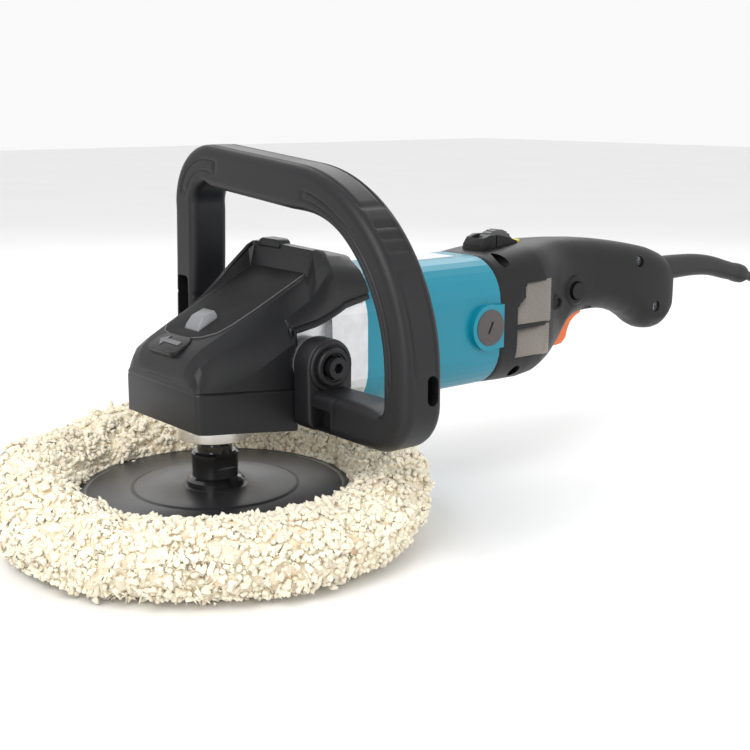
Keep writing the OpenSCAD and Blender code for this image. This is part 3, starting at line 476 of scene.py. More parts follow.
def coil_point(t):
    """The coil after t turns: inwards, outwards over that, and in and out once on top."""
    stops = [
        (0, OUTER, LOW), (0.75, OUTER, LOW), (1.25, MIDDLE, LOW), (1.75, MIDDLE, LOW),
        (2.25, INNER, LOW), (2.75, INNER, LOW), (3.25, INNER, MID), (3.75, INNER, MID),
        (4.25, MIDDLE, MID), (4.75, MIDDLE, MID), (5.25, OUTER, MID), (5.75, OUTER, MID),
        (6.25, MIDDLE, HIGH), (6.9, MIDDLE, HIGH), (7.4, OUTER, HIGH), (9, OUTER, HIGH)]
    for a, b in zip(stops, stops[1:]):
        if t <= b[0]:
            k = ease((t - a[0]) / (b[0] - a[0]))
            r, z = a[1] + (b[1] - a[1]) * k, a[2] + (b[2] - a[2]) * k
            break
    ang = math.radians(JOIN_ANGLE - 360 * t)
    return (COIL[0] + r * math.cos(ang), COIL[1] + r * math.sin(ang), z)


coil_points = [Vector(coil_point(TURNS * i / 200)) for i in range(201)]
line = smooth_line(ROUTE + coil_points[:2], 3)[:-2]
line = [p for p in line if (p - coil_points[0]).length > 3]
line += coil_points + [Vector((PLUG[0], y, PLUG[2])) for y in (-78, -86, -92.5)]
cord = tube("mains_cord_line", line, CORD_R, CORD, 14)
on(cord, "body", ("mains_cord", "cord_coil"))

# Plug: a contour plug with a ribbed sleeve. Distance from the cord's end, width, height, corner radius
PLUG_SECTIONS = [
    (0, 9.6, 9.6, 4.7), (0.5, 10, 10, 4.9), (13, 13, 12, 5.6), (15, 15, 13, 6), (20, 26, 19, 8),
    (24, 34, 23, 9.5), (28, 37, 25, 10.4), (34, 38, 26, 10.9), (38.5, 38, 26, 10.9),
    (40.2, 36.5, 24.5, 10.2), (41, 34, 22, 9)]
# radius and distance from the cord's end
PIN_PROFILE = [(0, 39), (2.15, 39), (2.15, 50), (2.4, 50.3), (2.4, 58.2), (1.6, 59.4), (0, 59.5)]
PIN_SPREAD = 9.5


def plug_ring(s, w, h, r):
    """A rounded section of the plug, s along it."""
    return [(PLUG[0] + a, PLUG[1] - s, PLUG[2] + b) for a, b in round_rect(w, h, r, 8)]


def plug_piece():
    """The plug's body with its ribs and pins as parts of it."""
    body = loft("plug_body", [plug_ring(*row) for row in PLUG_SECTIONS], CORD, sharp=50)
    parts = []
    for k in range(5):
        s = 2.5 + 2.6 * k
        w = 11 + k * 0.55
        rib = [(0, -0.4), (0.4, 0.9), (1.0, 0.9), (1.4, -0.4)]
        rings = [plug_ring(s + d, w + e, w + e - 0.4, 5) for d, e in rib]
        parts.append(loft(f"plug_rib_{k}", rings, CORD))
    for side, name in SIDES:
        profile = [(r, -h) for r, h in PIN_PROFILE]
        origin = (PLUG[0] + PIN_SPREAD * side, PLUG[1], PLUG[2])
        parts.append(lathe(f"plug_pin_{name}", profile, STEEL, 32, origin, "Y"))
    for p in parts:
        p.parent = body
    return body


plug = plug_piece()
on(plug, "body", ("plug",))

# Cord guard: a bent, tapered sleeve with a bead at its end
GUARD = [
    (424, 0, 134), (438, 0, 134), (456, 0, 134), (476, 0, 133.5), (498, 0, 131), (521, 0, 125.5),
    (538, 0, 121.5), (548, 0, 119)]
# distance along the sleeve and its radius there
GUARD_RADII = [
    (0, 10.1), (14, 10.1), (24, 9.9), (52, 9.1), (75, 8.35), (98, 7.9), (108, 7.7), (112, 8.1),
    (117, 8.3), (123, 7.9), (125.5, 6.9), (130, 5.2)]


def guard_radius(s):
    """Radius of the sleeve at a distance along it."""
    return interp(GUARD_RADII, s)[0]


guard = tube("cord_guard_sleeve", smooth_line(GUARD, 1.5), guard_radius, RUBBER, 32, sharp=50)
on(guard, "body", ("cord_guard",))

# ---------------------------------------------------------------- wool pad

# radius and height of the pile's mean surface, from the disc over the rim and back below the pad
WOOL_PROFILE = [
    (84, 27), (87, 33), (92.5, 43), (101, 52), (111, 56.5), (121, 55), (128.5, 48.5), (132.3, 38),
    (132.3, 26), (127.5, 13), (118, 4), (107, 0.6), (90, 0.2), (60, 0.1), (25, 0.1)]
WOOL_STEPS = 520
PILE_TOP = 60
# the direction in which the pile is lower, and the height from which it is
FRONT_ANGLE = 243
FRONT_LOW = 24
LOCK_COUNT, TUFT_COUNT = 16000, 420
wool_line = [(p.x, p.y) for p in smooth_line(WOOL_PROFILE, 1.8)]


def outward(k):
    """The pile's direction at a point of the profile, as its radial and upward parts."""
    r, z = wool_line[k]
    r0, z0 = wool_line[max(k - 1, 0)]
    r1, z1 = wool_line[min(k + 1, len(wool_line) - 1)]
    nr, nz = z0 - z1, r1 - r0
    size = math.hypot(nr, nz)
    nr, nz = -nr / size, -nz / size
    if r * nr < 0 and z < 5:
        nr, nz = -nr, -nz
    return nr, nz


def pile_height(p, a):
    """How far the pile stands out at p and angle a, with broad lumps, tufts and fine locks."""
    big = noise.noise(p * 0.022 + Vector((3, 1, 7)))
    mid = noise.fractal(p * 0.075 + Vector((9, 2, 4)), 0.9, 2.1, 3)
    fine = noise.fractal(p * 0.27, 0.85, 2.2, 4)
    # it reaches further out at two opposite sides
    near_side = max(0.0, math.cos(a + math.radians(39))) ** 2
    far_side = max(0.0, math.cos(a - math.radians(141))) ** 2
    reach = 3.0 * near_side + 1.5 * far_side
    tuft = 0.5 - noise.voronoi(p * 0.105)[0][0]
    small = 0.5 - noise.voronoi(p * 0.25)[0][0]
    return 5.0 * big + 2.6 * mid + 0.8 * fine + 4.2 * tuft + 1.8 * small - 1.4 + reach


def skin_point(a, k):
    """A point of the pile's skin. It stays on the disc's edge at one end and off the floor below."""
    r, z = wool_line[k]
    nr, nz = outward(k)
    amp = ease((k - 2) / 6) * ease((z - 0.4) / 12)
    d = amp * pile_height(Vector((r * math.cos(a), r * math.sin(a), z)), a)
    r, z = r + nr * d, z + nz * d
    z += amp * 3.0 * noise.noise(Vector((math.cos(a) * 2.3, math.sin(a) * 2.3, 5)))
    front = ease((math.cos(a - math.radians(FRONT_ANGLE)) - 0.1) / 0.8)
    if z > FRONT_LOW:
        z = FRONT_LOW + (z - FRONT_LOW) * (1 - 0.40 * front)
    return (r * math.cos(a), r * math.sin(a), max(0.05, min(z, PILE_TOP)))


def wool_skin():
    """The lumpy skin of the pile, closed below the disc. Also its points and their directions."""
    m = len(wool_line)
    pts, normals, faces = [], [], []
    for i in range(WOOL_STEPS):
        a = math.tau * i / WOOL_STEPS
        for k in range(m):
            nr, nz = outward(k)
            pts.append(skin_point(a, k))
            normals.append(Vector((nr * math.cos(a), nr * math.sin(a), nz)))
    base = len(pts)
    for i in range(WOOL_STEPS):
        j = (i + 1) % WOOL_STEPS
        for k in range(m - 1):
            faces.append((i * m + k, j * m + k, j * m + k + 1, i * m + k + 1))
    for i in range(WOOL_STEPS):
        j = (i + 1) % WOOL_STEPS
        faces.append((i * m + m - 1, j * m + m - 1, base))
        faces.append((j * m, i * m, base + 1))
    middles = [(0, 0, 0.1), (0, 0, 27)]
    return add_mesh("wool_skin", pts + middles, faces, WOOL_WITH_PAINTED_SHADE, 180), pts, normals


class Locks:
    """Small locks of pile, gathered in one mesh."""

    def __init__(self):
        self.pts = []
        self.faces = []

    def add(self, p, d, grow, width, curl, rings, sides, blunt):
        """One lock from p along d, bending by curl, with a round or a fine tip."""
        start = len(self.pts)
        q = Vector(p)
        for i in range(rings):
            t = i / rings
            u = d.orthogonal().normalized()
            v = d.cross(u)
            w = width * (math.sqrt(1 - t * t) if blunt else (1 - t) ** 0.6)
            for c in range(sides):
                ang = math.tau * c / sides
                self.stand(q + w * (u * math.cos(ang) + v * math.sin(ang)))
            q = q + d * grow / rings
            d = (d + curl).normalized()
        top = len(self.pts)
        self.stand(q)
        for i in range(rings):
            for c in range(sides):
                a, b = start + i * sides + c, start + i * sides + (c + 1) % sides
                if i < rings - 1:
                    self.faces.append((a, b, b + sides, a + sides))
                else:
                    self.faces.append((a, b, top))
        self.faces.append(tuple(start + c for c in range(sides))[::-1])

    def stand(self, p):
        """Adds a point, no lower than the floor."""
        self.pts.append((p.x, p.y, max(0.1, p.z)))

    def finish(self, name, mat):
        """The mesh object of all the locks."""
        me = bpy.data.meshes.new(name)
        me.from_pydata([tuple(c * MM for c in p) for p in self.pts], [], self.faces)
        me.materials.append(mat)
        me.shade_smooth()
        obj = bpy.data.objects.new(name, me)
        scene.collection.objects.link(obj)
        return obj


def field(p, scale, shift):
    """A direction that changes slowly from place to place."""
    return Vector((
        noise.noise(p * scale + Vector((shift, 0, 0))),
        noise.noise(p * scale + Vector((0, shift, 7))),
        noise.noise(p * scale + Vector((3, 9, shift)))))


def spread():
    """A random vector."""
    return Vector((random.uniform(-1, 1), random.uniform(-1, 1), random.uniform(-1, 1)))


def scatter(locks, pts, normals):
    """Locks all over the skin. Neighbours lean together, so the pile parts into tufts."""
    m = len(wool_line)
    for number in range(LOCK_COUNT):
        i = random.randrange(WOOL_STEPS)
        k = random.randrange(1, m - 12)
        p, n = Vector(pts[i * m + k]), normals[i * m + k]
        if p.z < 4 and random.random() < 0.7:
            continue
        d = (n * 0.8 + field(p, 0.11, 4) * 2.2 + field(p, 0.03, 8) * 1.2 + spread() * 0.25).normalized()
        if d.dot(n) < 0.25:
            d = (d + n * 0.6).normalized()
        curl = field(p, 0.2, 2) * 0.5 + spread() * 0.12
        # two blunt locks to each fine one
        if number % 3:
            grow, width = random.uniform(4.5, 7.5), random.uniform(1.1, 2.1)
            locks.add(p - n * 2.2, d, grow, width, curl, 4, 5, True)
        else:
            grow, width = random.uniform(4.0, 8.0), random.uniform(0.5, 1.1)
            locks.add(p - n * 1.5, d, grow, width, curl, 4, 4, False)


def front_tufts(locks):
    """Blunt tufts that fall over the edge of the disc at the front."""
    for _ in range(TUFT_COUNT):
        a = math.radians(random.triangular(195, 305, 262))
        r = random.uniform(85, 96)
        inward = Vector((-math.cos(a), -math.sin(a), 0))
        p = Vector((r * math.cos(a), r * math.sin(a), 33.5 + (r - 85) * 0.4))
        lean = inward * random.uniform(0.6, 1.0) + Vector((0, 0, random.uniform(0.15, 0.6)))
        d = (lean + spread() * 0.35).normalized()
        grow, width = random.uniform(5, 10), random.uniform(1.6, 2.8)
        locks.add(p, d, grow, width, spread() * 0.10 + inward * 0.10, 5, 6, True)


def wool_piece():
    """Lambswool pile: a dented, lumpy skin with thousands of small locks standing on it."""
    skin, pts, normals = wool_skin()
    locks = Locks()
    scatter(locks, pts, normals)
    front_tufts(locks)
    locks.finish("wool_locks", WOOL_TIP).parent = skin
    return skin


wool = wool_piece()
on(wool, "spindle", ("wool_pad",))

# ---------------------------------------------------------------- backing pad

# radius and height, round the disc's section from its bore over the rim and the raised middle
PAD_PROFILE = [
    (7.15, 31.7), (19, 31.7), (19, 27.6), (83.8, 27.6), (84.7, 28.2), (85, 29.2), (85, 31.6),
    (84.6, 32.6), (83.6, 33.1), (80, 33.2), (79.6, 33.0), (79.0, 33.2), (53.5, 33.25), (52.2, 33.4),
    (51.2, 33.95), (50, 34), (21, 34), (20.4, 33.7), (19.8, 34), (7.15, 34)]
pad = lathe("backing_pad_disc", PAD_PROFILE, PAD, 160)
on(pad, "spindle", ("backing_pad",))

# ---------------------------------------------------------------- head cover

# Stations along the cover. x, then half width and height of the foot and of the seam, height of the
# shoulder, and half width and height of the crease, of the rail and of the panel's edge
HEAD_TABLE = [
    (-37.0, 39.5, 79.8, 39.0, 103.2, 104.4, 30.0, 107.8, 25.0, 109.8, 23.0, 110.1),
    (-36.5, 41.8, 79.6, 41.3, 103.3, 104.6, 33.5, 110.2, 27.5, 112.2, 25.5, 112.6),
    (-34.8, 43.3, 79.5, 42.8, 103.3, 104.8, 36.2, 114.6, 28.8, 117.2, 27.0, 117.6),
    (-31.5, 44.4, 79.2, 43.9, 103.2, 105.2, 37.6, 118.8, 29.4, 122.0, 28.2, 122.4),
    (-25.5, 45.2, 78.7, 44.7, 102.8, 105.8, 38.2, 122.6, 30.0, 126.8, 29.0, 127.1),
    (-14.0, 46.2, 77.7, 45.7, 102.0, 107.6, 38.4, 126.8, 30.4, 133.0, 29.2, 133.0),
    (0.0, 47.6, 76.4, 47.1, 101.0, 112.6, 38.5, 131.0, 30.7, 140.4, 29.2, 140.0),
    (13.0, 49.0, 75.0, 48.5, 100.0, 119.6, 38.5, 135.0, 31.6, 148.4, 29.4, 146.4),
    (21.0, 49.7, 74.2, 49.2, 99.3, 124.2, 38.5, 137.6, 32.4, 154.4, 29.6, 150.4),
    (28.0, 50.2, 73.5, 49.6, 98.8, 127.4, 38.4, 140.0, 33.0, 160.4, 29.8, 153.8),
    (28.6, 47.6, 134.2, 45.6, 135.2, 136.2, 38.4, 140.4, 33.0, 161.0, 29.8, 154.2),
    (35.0, 47.4, 134.6, 45.4, 136.2, 137.6, 38.2, 143.4, 33.2, 166.6, 29.8, 157.4),
    (46.0, 47.0, 136.0, 45.2, 138.0, 139.8, 38.0, 149.4, 33.4, 175.6, 29.8, 162.8),
    (49.0, 46.9, 136.6, 45.2, 138.8, 140.8, 37.8, 151.6, 33.4, 178.2, 29.8, 164.4),
    (53.5, 46.8, 137.6, 45.3, 140.0, 142.4, 37.4, 155.6, 33.0, 180.4, 30.2, 180.6),
    (58.0, 46.6, 139.0, 45.4, 141.8, 144.4, 37.0, 160.4, 32.4, 180.6, 30.2, 181.0),
    (65.0, 46.4, 142.0, 45.5, 145.0, 147.6, 36.6, 168.0, 31.0, 177.8, 28.0, 179.4),
    (69.0, 46.2, 144.0, 45.5, 147.4, 150.2, 36.4, 166.6, 30.0, 175.2, 26.0, 176.6),
    (80.0, 46.0, 146.4, 45.4, 149.6, 152.6, 36.4, 165.8, 29.0, 173.4, 23.0, 175.4),
    (88.0, 45.8, 148.0, 45.2, 151.0, 153.6, 36.2, 165.0, 28.0, 172.0, 21.0, 174.2),
]
# where the slope meets the ridge
RIDGE_X = 53


def head_half(row, far):
    """Half a section, from the foot over the seam and the shoulder to the middle. The far rail is higher."""
    x, wb, zb, ws, zs, zh, wc, zc, wr, zr, wp, zp = row
    if not far and x < RIDGE_X:
        zr = min(zr, zp - 0.4)
    if not far and x > RIDGE_X:
        zr, zp = zr - 2.2, zp - 0.8
    half = [(wb, zb), ((wb + ws) / 2, (zb + zs) / 2)]
    # the seam, a fine notch
    half += [(ws + 0.1, zs - 0.9), (ws - 1.0, zs), (ws - 0.3, zs + 0.9)]
    wh = ws - 0.5
    # the flank, bowed out between the shoulder and the crease
    half += [(wh, zh)]
    half += [(wh + (wc - wh) * 0.35, zh + (zc - zh) * 0.45), (wh + (wc - wh) * 0.7, zh + (zc - zh) * 0.76)]
    half += [(wc, zc), ((wc + wr) / 2, (zc + zr) / 2 + 0.2), (wr, zr)]
    half += [((wr + wp) / 2, max(zr, zp) * 0.5 + (zr + zp) * 0.25), (wp, zp)]
    middle = row[-1]
    for t in (0.66, 0.33):
        half.append((wp * t, middle + (zp - middle) * t))
    return half


def head_cover_piece():
    """The cover's skin, open below, with rounded edges and a wall thickness."""
    rings = []
    for row in HEAD_TABLE:
        near = [(row[0], -y, z) for y, z in head_half(row, False)]
        far = [(row[0], y, z) for y, z in reversed(head_half(row, True))]
        rings.append(near + [(row[0], 0, row[-1])] + far)
    n = len(rings[0])
    pts = [p for r in rings for p in r]
    faces = []
    for i in range(len(rings) - 1):
        for k in range(n - 1):
            a = i * n + k
            faces.append((a, a + 1, a + 1 + n, a + n))
    # front face as strips between the two halves
    for k in range(n // 2):
        j = n - 1 - k
        if k + 1 < j - 1:
            faces.append((k, k + 1, j - 1, j))
        elif k + 1 == j - 1:
            faces.append((k, k + 1, j))
    obj = add_mesh("head_cover_shell", pts, faces, HEAD, 30)
    add_bevel(obj, 1.6, 3, 24)
    wall = obj.modifiers.new("wall", "SOLIDIFY")
    wall.thickness = 2.2 * MM
    wall.offset = -1
    apply_mods(obj)
    smooth(obj, 40)
    return obj


head = head_cover_piece()
on(head, "body", ("head_cover",))


def on_slope(x):
    """Height of the cover's sloping top at x."""
    return 140 + 0.5 * x


# sine and cosine of the slope's angle
SLOPE_SIN, SLOPE_COS = 0.447, 0.894


def slope_plate(name, outline, low, high, mat, grow=0.0):
    """A plate on the slope between two heights over it, its outline grown about its middle."""
    cx = sum(p[0] for p in outline) / len(outline)
    cy = sum(p[1] for p in outline) / len(outline)
    ring = []
    for x, y in outline:
        d = Vector((x - cx, y - cy))
        d = d * (1 + grow / max(1, d.length))
        ring.append((cx + d.x, cy + d.y))
    rings = []
    for lift in (low, high):
        rings.append([(x - lift * SLOPE_SIN, y, on_slope(x) + lift * SLOPE_COS) for x, y in ring])
    return loft(name, rings, mat)


# Glossy panel let into the slope. A slightly larger grey plate shows round its edge as a painted highlight
# along that edge.
PANEL_OUTLINE = [
    (-20.4, -6), (-20.8, 12), (-19.5, 22), (-15, 27.5), (-4, 28.4), (12, 28.8), (30, 29), (50, 29),
    (51.4, 27), (51.6, 0), (51.4, -27), (50, -29.4), (30, -29.2), (10, -28.8), (-2, -27.8), (-11, -25),
    (-17, -17)]
# grey plate a little wider than the panel: its visible rim is a painted highlight on the panel's edge
panel_edge_highlight = slope_plate("panel_edge_painted_highlight", PANEL_OUTLINE, -1.5, 0.75, EDGE_HIGHLIGHT_AND_ARROW, 0.45)
on(panel_edge_highlight, "body")
panel = slope_plate("cover_panel_plate", PANEL_OUTLINE, -1.2, 1.0, PANEL)
button_hole = block("button_hole", (-14.6, 0.6), (-8.6, 8.6), (120, 160), PANEL)
cut(panel, [button_hole], keep=True)
cut(panel_edge_highlight, [button_hole], keep=True)
cut(head, [button_hole])
bevel(panel, 0.5, 2, 40)
on(panel, "body", ("cover_panel",))

# Raised block on the ridge, and the round-cornered arrow plate at the front
RIDGE_OUTLINE = [(1, 178), (2.5, 182.4), (5, 183.6), (20, 183.6), (23, 182.4), (25, 178)]
ridge = prism("ridge_block", RIDGE_OUTLINE, (51.5, 62), HEAD, "X")
bevel(ridge, 1.2, 3, 25)
on(ridge, "body")
arrow_plate = slope_plate("arrow_plate", round_rect(15, 34, 6, 8, -27.5, 3), -3, 0.9, HEAD)
bevel(arrow_plate, 0.6, 3, 40)
on(arrow_plate, "body")
ARROW_OUTLINE = [
    (-26.6, 15), (-22.2, 8.5), (-25.2, 8.5), (-25.2, -8), (-28.2, -8), (-28.2, 8.5), (-31.2, 8.5)]
arrow = slope_plate("arrow_mark", ARROW_OUTLINE, 0.6, 1.3, EDGE_HIGHLIGHT_AND_ARROW)
on(arrow, "body")

# Shaft lock button: a trapezoid cap in a sloping well
button = loft("shaft_lock_cap", [
    [(-14, -8, 118), (0, -8, 118), (0, 8, 118), (-14, 8, 118)],
    [(-14, -8, 134), (0, -8, 140.5), (0, 8, 140.5), (-14, 8, 134)],
    [(-13.6, -7.6, 136), (-0.2, -7.6, 142.4), (-0.2, 7.6, 142.4), (-13.6, 7.6, 136)],
    [(-9.8, -6.4, 141.6), (-1.2, -6.4, 145), (-1.2, 6.4, 145), (-9.8, 6.4, 141.6)],
], BUTTON)
bevel(button, 0.6, 3, 25)
foot = block("shaft_lock_foot", (-22, -13.9), (-7, 7), (118, 123), BUTTON)
foot.parent = button
on(button, "shaft_lock", ("shaft_lock_button",))

# ---------------------------------------------------------------- loop handle

# x and z of the bolts through the brackets
LUG = (41, 114.5)
LUG_R = 16.5
# the grip's section: across the loop and along the tool
LOOP_WIDTH, LOOP_DEPTH = 27.0, 28.0


def even_steps(points, step):
    """Points every step along straight pieces between the given ones."""
    pts = [Vector(p) for p in points]
    out = []
    for a, b in zip(pts, pts[1:]):
        n = max(1, round((b - a).length / step))
        out += [a + (b - a) * k / n for k in range(n)]
    return out + [pts[-1]]


# y and z of the grip's middle line, from the foot of its leg round the loop to the end of its arm
loop_line = even_steps(
    [(80, 98), (76, 168), (74.7, 198)]
    + arc(48.5, 202, 26.5, 4, 95, 30)
    + arc(-39.5, 120.5, 100, 95, 180, 90)
    + arc(-124.5, 105, 15, 184, 270, 24)
    + [(-51.5, 90)], 1.5)


def groove(v, at, half):
    """A soft V across v, as deep as 1 at its middle."""
    return max(0.0, 1 - abs(v - at) / half)


# Outlines pressed into the grip: face, start and end along it as parts of its length,
# middle and half width across
PRESSED = [
    ("out", 0.27, 0.59, 0.0, 8.0), ("out", 0.668, 0.775, 0.5, 7.6),
    ("front", 0.225, 0.315, 0.5, 3.6), ("front", 0.505, 0.785, -2.6, 2.6),
]


def pressed(face, s, total, u):
    """Depth of the pressed lines on a face, s along the grip and u across it."""
    depth = 0.0
    for name, lo, hi, middle, half in PRESSED:
        a, b = lo * total, hi * total
        if name != face or s < a - 3 or s > b + 3:
            continue
        side = groove(abs(u - middle), half, 1.1) * ease((s - a + 2) / 3) * ease((b + 2 - s) / 3)
        ends = max(groove(s, a, 2.4), groove(s, b, 2.4)) * ease((half + 1.2 - abs(u - middle)) / 1.6)
        depth = max(depth, side, ends)
    # three short grooves across the outer side
    if face == "out":
        for k in range(3):
            across = groove(s, (0.617 + 0.014 * k) * total, 2.2) * ease((8.5 - abs(u)) / 2)
            depth = max(depth, 1.6 * across)
    return depth


def inner_half(p):
    """Distance from the path to the grip's inner side: thinner down the left of the loop."""
    in_leg = p.x > 55
    in_arm = p.y < 104
    in_right_corner = p.x > 40
    if in_leg:
        return 10.5
    if in_arm:
        return 7.5 + 3.5 * ease((p.x + 136) / 25)
    if in_right_corner:
        return 10.5 + 3 * ease((55 - p.x) / 15)
    return 13.5 - 6 * ease((-42 - p.x) / 62)


def dense_outline(outline, step):
    """The closed outline with points no further apart than about the step."""
    dense = []
    for a, b in zip(outline, outline[1:] + outline[:1]):
        a, b = Vector(a), Vector(b)
        n = max(1, int((b - a).length / step))
        dense += [a + (b - a) * k / n for k in range(n)]
    return dense


def loop_piece():
    """The grip swept along its line, with pressed lines, a thinner inner side and rounded ends."""
    pts = loop_line
    total = length_of(pts)
    section = dense_outline(round_rect(LOOP_WIDTH, LOOP_DEPTH, 6.0, 7), 0.8)
    rings = []
    s = 0
    for i, p in enumerate(pts):
        t = (pts[min(i + 1, len(pts) - 1)] - pts[max(i - 1, 0)]).normalized()
        nrm = Vector((t.y, -t.x))
        if i:
            s += (p - pts[i - 1]).length
        end = min(s, total - s)
        shrink = 1.0 if end > 3 else 0.86 + 0.14 * math.sqrt(max(0, 1 - (1 - end / 3) ** 2))
        narrow = inner_half(p) / (LOOP_WIDTH / 2)
        ring = []
        for q in section:
            radial, depth = q.x * shrink, q.y * shrink
            if q.x > LOOP_WIDTH / 2 - 0.3:
                radial -= 0.9 * pressed("out", s, total, q.y)
            elif q.x < 0:
                radial *= narrow
            if abs(q.y) > LOOP_DEPTH / 2 - 0.3:
                depth += 0.9 * pressed("front", s, total, q.x) * (1 if q.y < 0 else -1)
            # a fine joint line round the leg and the arm
            for joint in (0.088, 0.93):
                k = groove(s, joint * total, 1.0)
                radial *= 1 - 0.05 * k
                depth *= 1 - 0.05 * k
            c = p + nrm * radial
            ring.append((LUG[0] + depth, c.x, c.y))
        rings.append(ring)
    return loft("loop_grip", rings, GRIP, sharp=50)


loop = loop_piece()
cut(loop, [
    prism("slot_leg", round_rect(13, 28, 2.5, 4, 79, 141), (20, 35), GRIP, "X"),
    prism("slot_arm", round_rect(27, 13, 2.5, 4, -71.5, 85.5), (20, 35), GRIP, "X"),
    prism("hole_arm", round_rect(8, 17, 3.9, 6, 46.5, 114), (-165, -143), GRIP),
    lathe("bolt_well", [(0, 67.5), (7.5, 67.5), (7.5, 110), (0, 110)], GRIP, 40, (LUG[0], 0, LUG[1]), "Y"),
])
smooth(loop, 45)
on(loop, "body", ("loop_handle_grip",))

# radius and distance from the tool's middle, round the raised rings
LUG_RINGS = [
    (0, 66), (15.2, 66), (15.2, 67.8), (14.6, 68.5), (13.2, 68.5), (12.7, 67.9), (11.8, 67.9),
    (11.5, 70.4), (10.9, 71.2), (9.0, 71.2), (8.4, 70.4), (7.7, 70.2), (7.7, 67.2), (0, 67.2)]


def lug_outline(side):
    """A disc that runs down into the arm on the left, or up into the leg on the right."""
    if side > 0:
        end = [(57, 122), (55, 126), (51, 127.5), (31, 127.5), (27, 126), (25, 122)]
        return arc(*LUG, LUG_R, 180, 360, 28) + end
    half = LUG_R - 0.3
    edge = [(half, 92), (half, 81), (half - 3, 77.4), (half - 6, 76.6)]
    down = [(LUG[0] - x, z) for x, z in edge]
    up = [(LUG[0] + x, z) for x, z in reversed(edge)]
    return arc(*LUG, LUG_R, 0, 180, 28) + down + up


def lug_piece(side, name):
    """The end of the handle at one side of the gear housing: a disc with raised rings."""
    plate = prism(f"lug_{name}", lug_outline(side), (side * 51.3, side * 67), GRIP)
    bevel(plate, 1.6, 3, 30)
    rings = [(r, side * h) for r, h in LUG_RINGS]
    boss = lathe(f"lug_rings_{name}", rings, GRIP, 72, (LUG[0], 0, LUG[1]), "Y")
    boss.parent = plate
    on(plate, "body", (f"loop_bracket_{name}",))


for side, name in SIDES:
    lug_piece(side, name)

# ---------------------------------------------------------------- rear handle

# x, half width, bottom, top, corner radius
HANDLE_TABLE = [
    (205.3, 44.0, 73.5, 162.5, 30), (207, 44.4, 72.6, 163.6, 30), (222, 44.2, 72.0, 165.5, 30),
    (240, 43.4, 71.8, 167.2, 29), (252, 42.0, 73.4, 168.2, 27), (260, 39.2, 75.4, 168.6, 26),
    (268, 35.6, 77.6, 168.8, 25), (276, 31.0, 80.4, 168.9, 23), (284, 26.8, 84.2, 169.0, 21),
    (292, 23.8, 90.8, 169.0, 19.5), (299, 22.2, 98.4, 168.8, 18.5), (306, 21.2, 103.8, 168.4, 18),
    (314, 20.4, 107.4, 168.0, 17.5), (322, 19.8, 109.4, 167.4, 17.5), (330, 19.4, 110.0, 166.6, 17.5),
    (338, 19.2, 110.2, 165.8, 17.5), (350, 19.0, 109.8, 164.3, 17.5), (364, 19.0, 107.4, 162.2, 17.5),
    (378, 19.0, 103.0, 159.8, 17), (390, 18.9, 96.6, 157.5, 16.5), (398, 18.7, 91.0, 155.8, 16),
    (405, 18.4, 87.8, 154.2, 16), (413, 17.9, 86.8, 151.6, 15.5), (421, 17.0, 87.6, 148.6, 15),
    (428, 15.6, 91.0, 144.6, 14), (433, 13.8, 95.8, 140.6, 12.5), (436.4, 11.4, 102.0, 136.4, 10.8),
    (437.8, 8.2, 108.0, 130.5, 8.0), (438.0, 5.0, 112.0, 126.0, 4.9)]
# half the seam between the shells
SEAM = 0.18


def half_ring(x, w, lo, hi, r, side, n=9):
    """Half of a rounded section, from the top seam round one side to the bottom seam."""
    r = min(r, w - 0.2, (hi - lo) / 2 - 0.2)
    flat = w - r
    # a point halfway along the flat, or close to the seam where there is no flat
    halfway = flat * 0.5 if flat > 1 else SEAM * 1.2
    quarter = [math.radians(90 * k / n) for k in range(n + 1)]
    pts = [(SEAM, hi), (halfway, hi)]
    pts += [(flat + r * math.sin(a), hi - r + r * math.cos(a)) for a in quarter]
    pts += [(w, hi - r + (lo + r - hi + r) * k) for k in (0.2, 0.4, 0.6, 0.8)]
    pts += [(flat + r * math.cos(a), lo + r - r * math.sin(a)) for a in quarter]
    pts += [(halfway, lo), (SEAM, lo)]
    return [(x, side * y, z) for y, z in pts]


def handle_half(side, name):
    """One shell's skin, lofted along the handle."""
    stations = [205.3, 206.2] + [207 + 3 * k for k in range(75)] + [431, 433, 434.8, 436.4, 437.4, 438.0]
    rings = [half_ring(x, *interp(HANDLE_TABLE, x), side) for x in sorted(set(stations))]
    return loft(f"handle_shell_{name}_skin", rings, HANDLE, sharp=40)


# x and z of the openings' corners and of the screws
UPPER_VENT = [
    (222, 115.5), (256, 115.5), (257, 140), (253, 145), (233, 145), (230, 141.5), (230, 134.5),
    (225, 131.5), (222, 128)]
LOWER_VENT = [(221.5, 92), (250, 92), (254.5, 97), (256, 113), (222, 113)]
TRIGGER_SLOT = [
    (283, 80), (286, 104), (298, 114), (330, 114), (327, 100), (316, 88), (304, 78), (290, 70)]
SCREWS = [(219, 160), (228, 81), (384, 145), (407, 107)]
SCREW_WELL = [(0, -60), (4.4, -60), (4.4, -14), (0, -14)]


def handle_cutters(side):
    """The vents and the trigger slot of both shells, and the screw wells of the left one."""
    y = (side * 39.2, side * 52)
    cutters = [
        prism("vent_up", UPPER_VENT, y, HANDLE),
        prism("vent_low", LOWER_VENT, y, HANDLE),
        prism("trigger_slot", TRIGGER_SLOT, (-9, 9), HANDLE),
    ]
    if side < 0:
        cutters += [lathe("screw_well", SCREW_WELL, HANDLE, 32, (x, 0, z), "Y") for x, z in SCREWS]
    return cutters


# The two shells
for side, name in SIDES:
    shell = handle_half(side, name)
    cut(shell, handle_cutters(side))
    smooth(shell, 38)
    on(shell, "body", (f"handle_shell_{name}",))


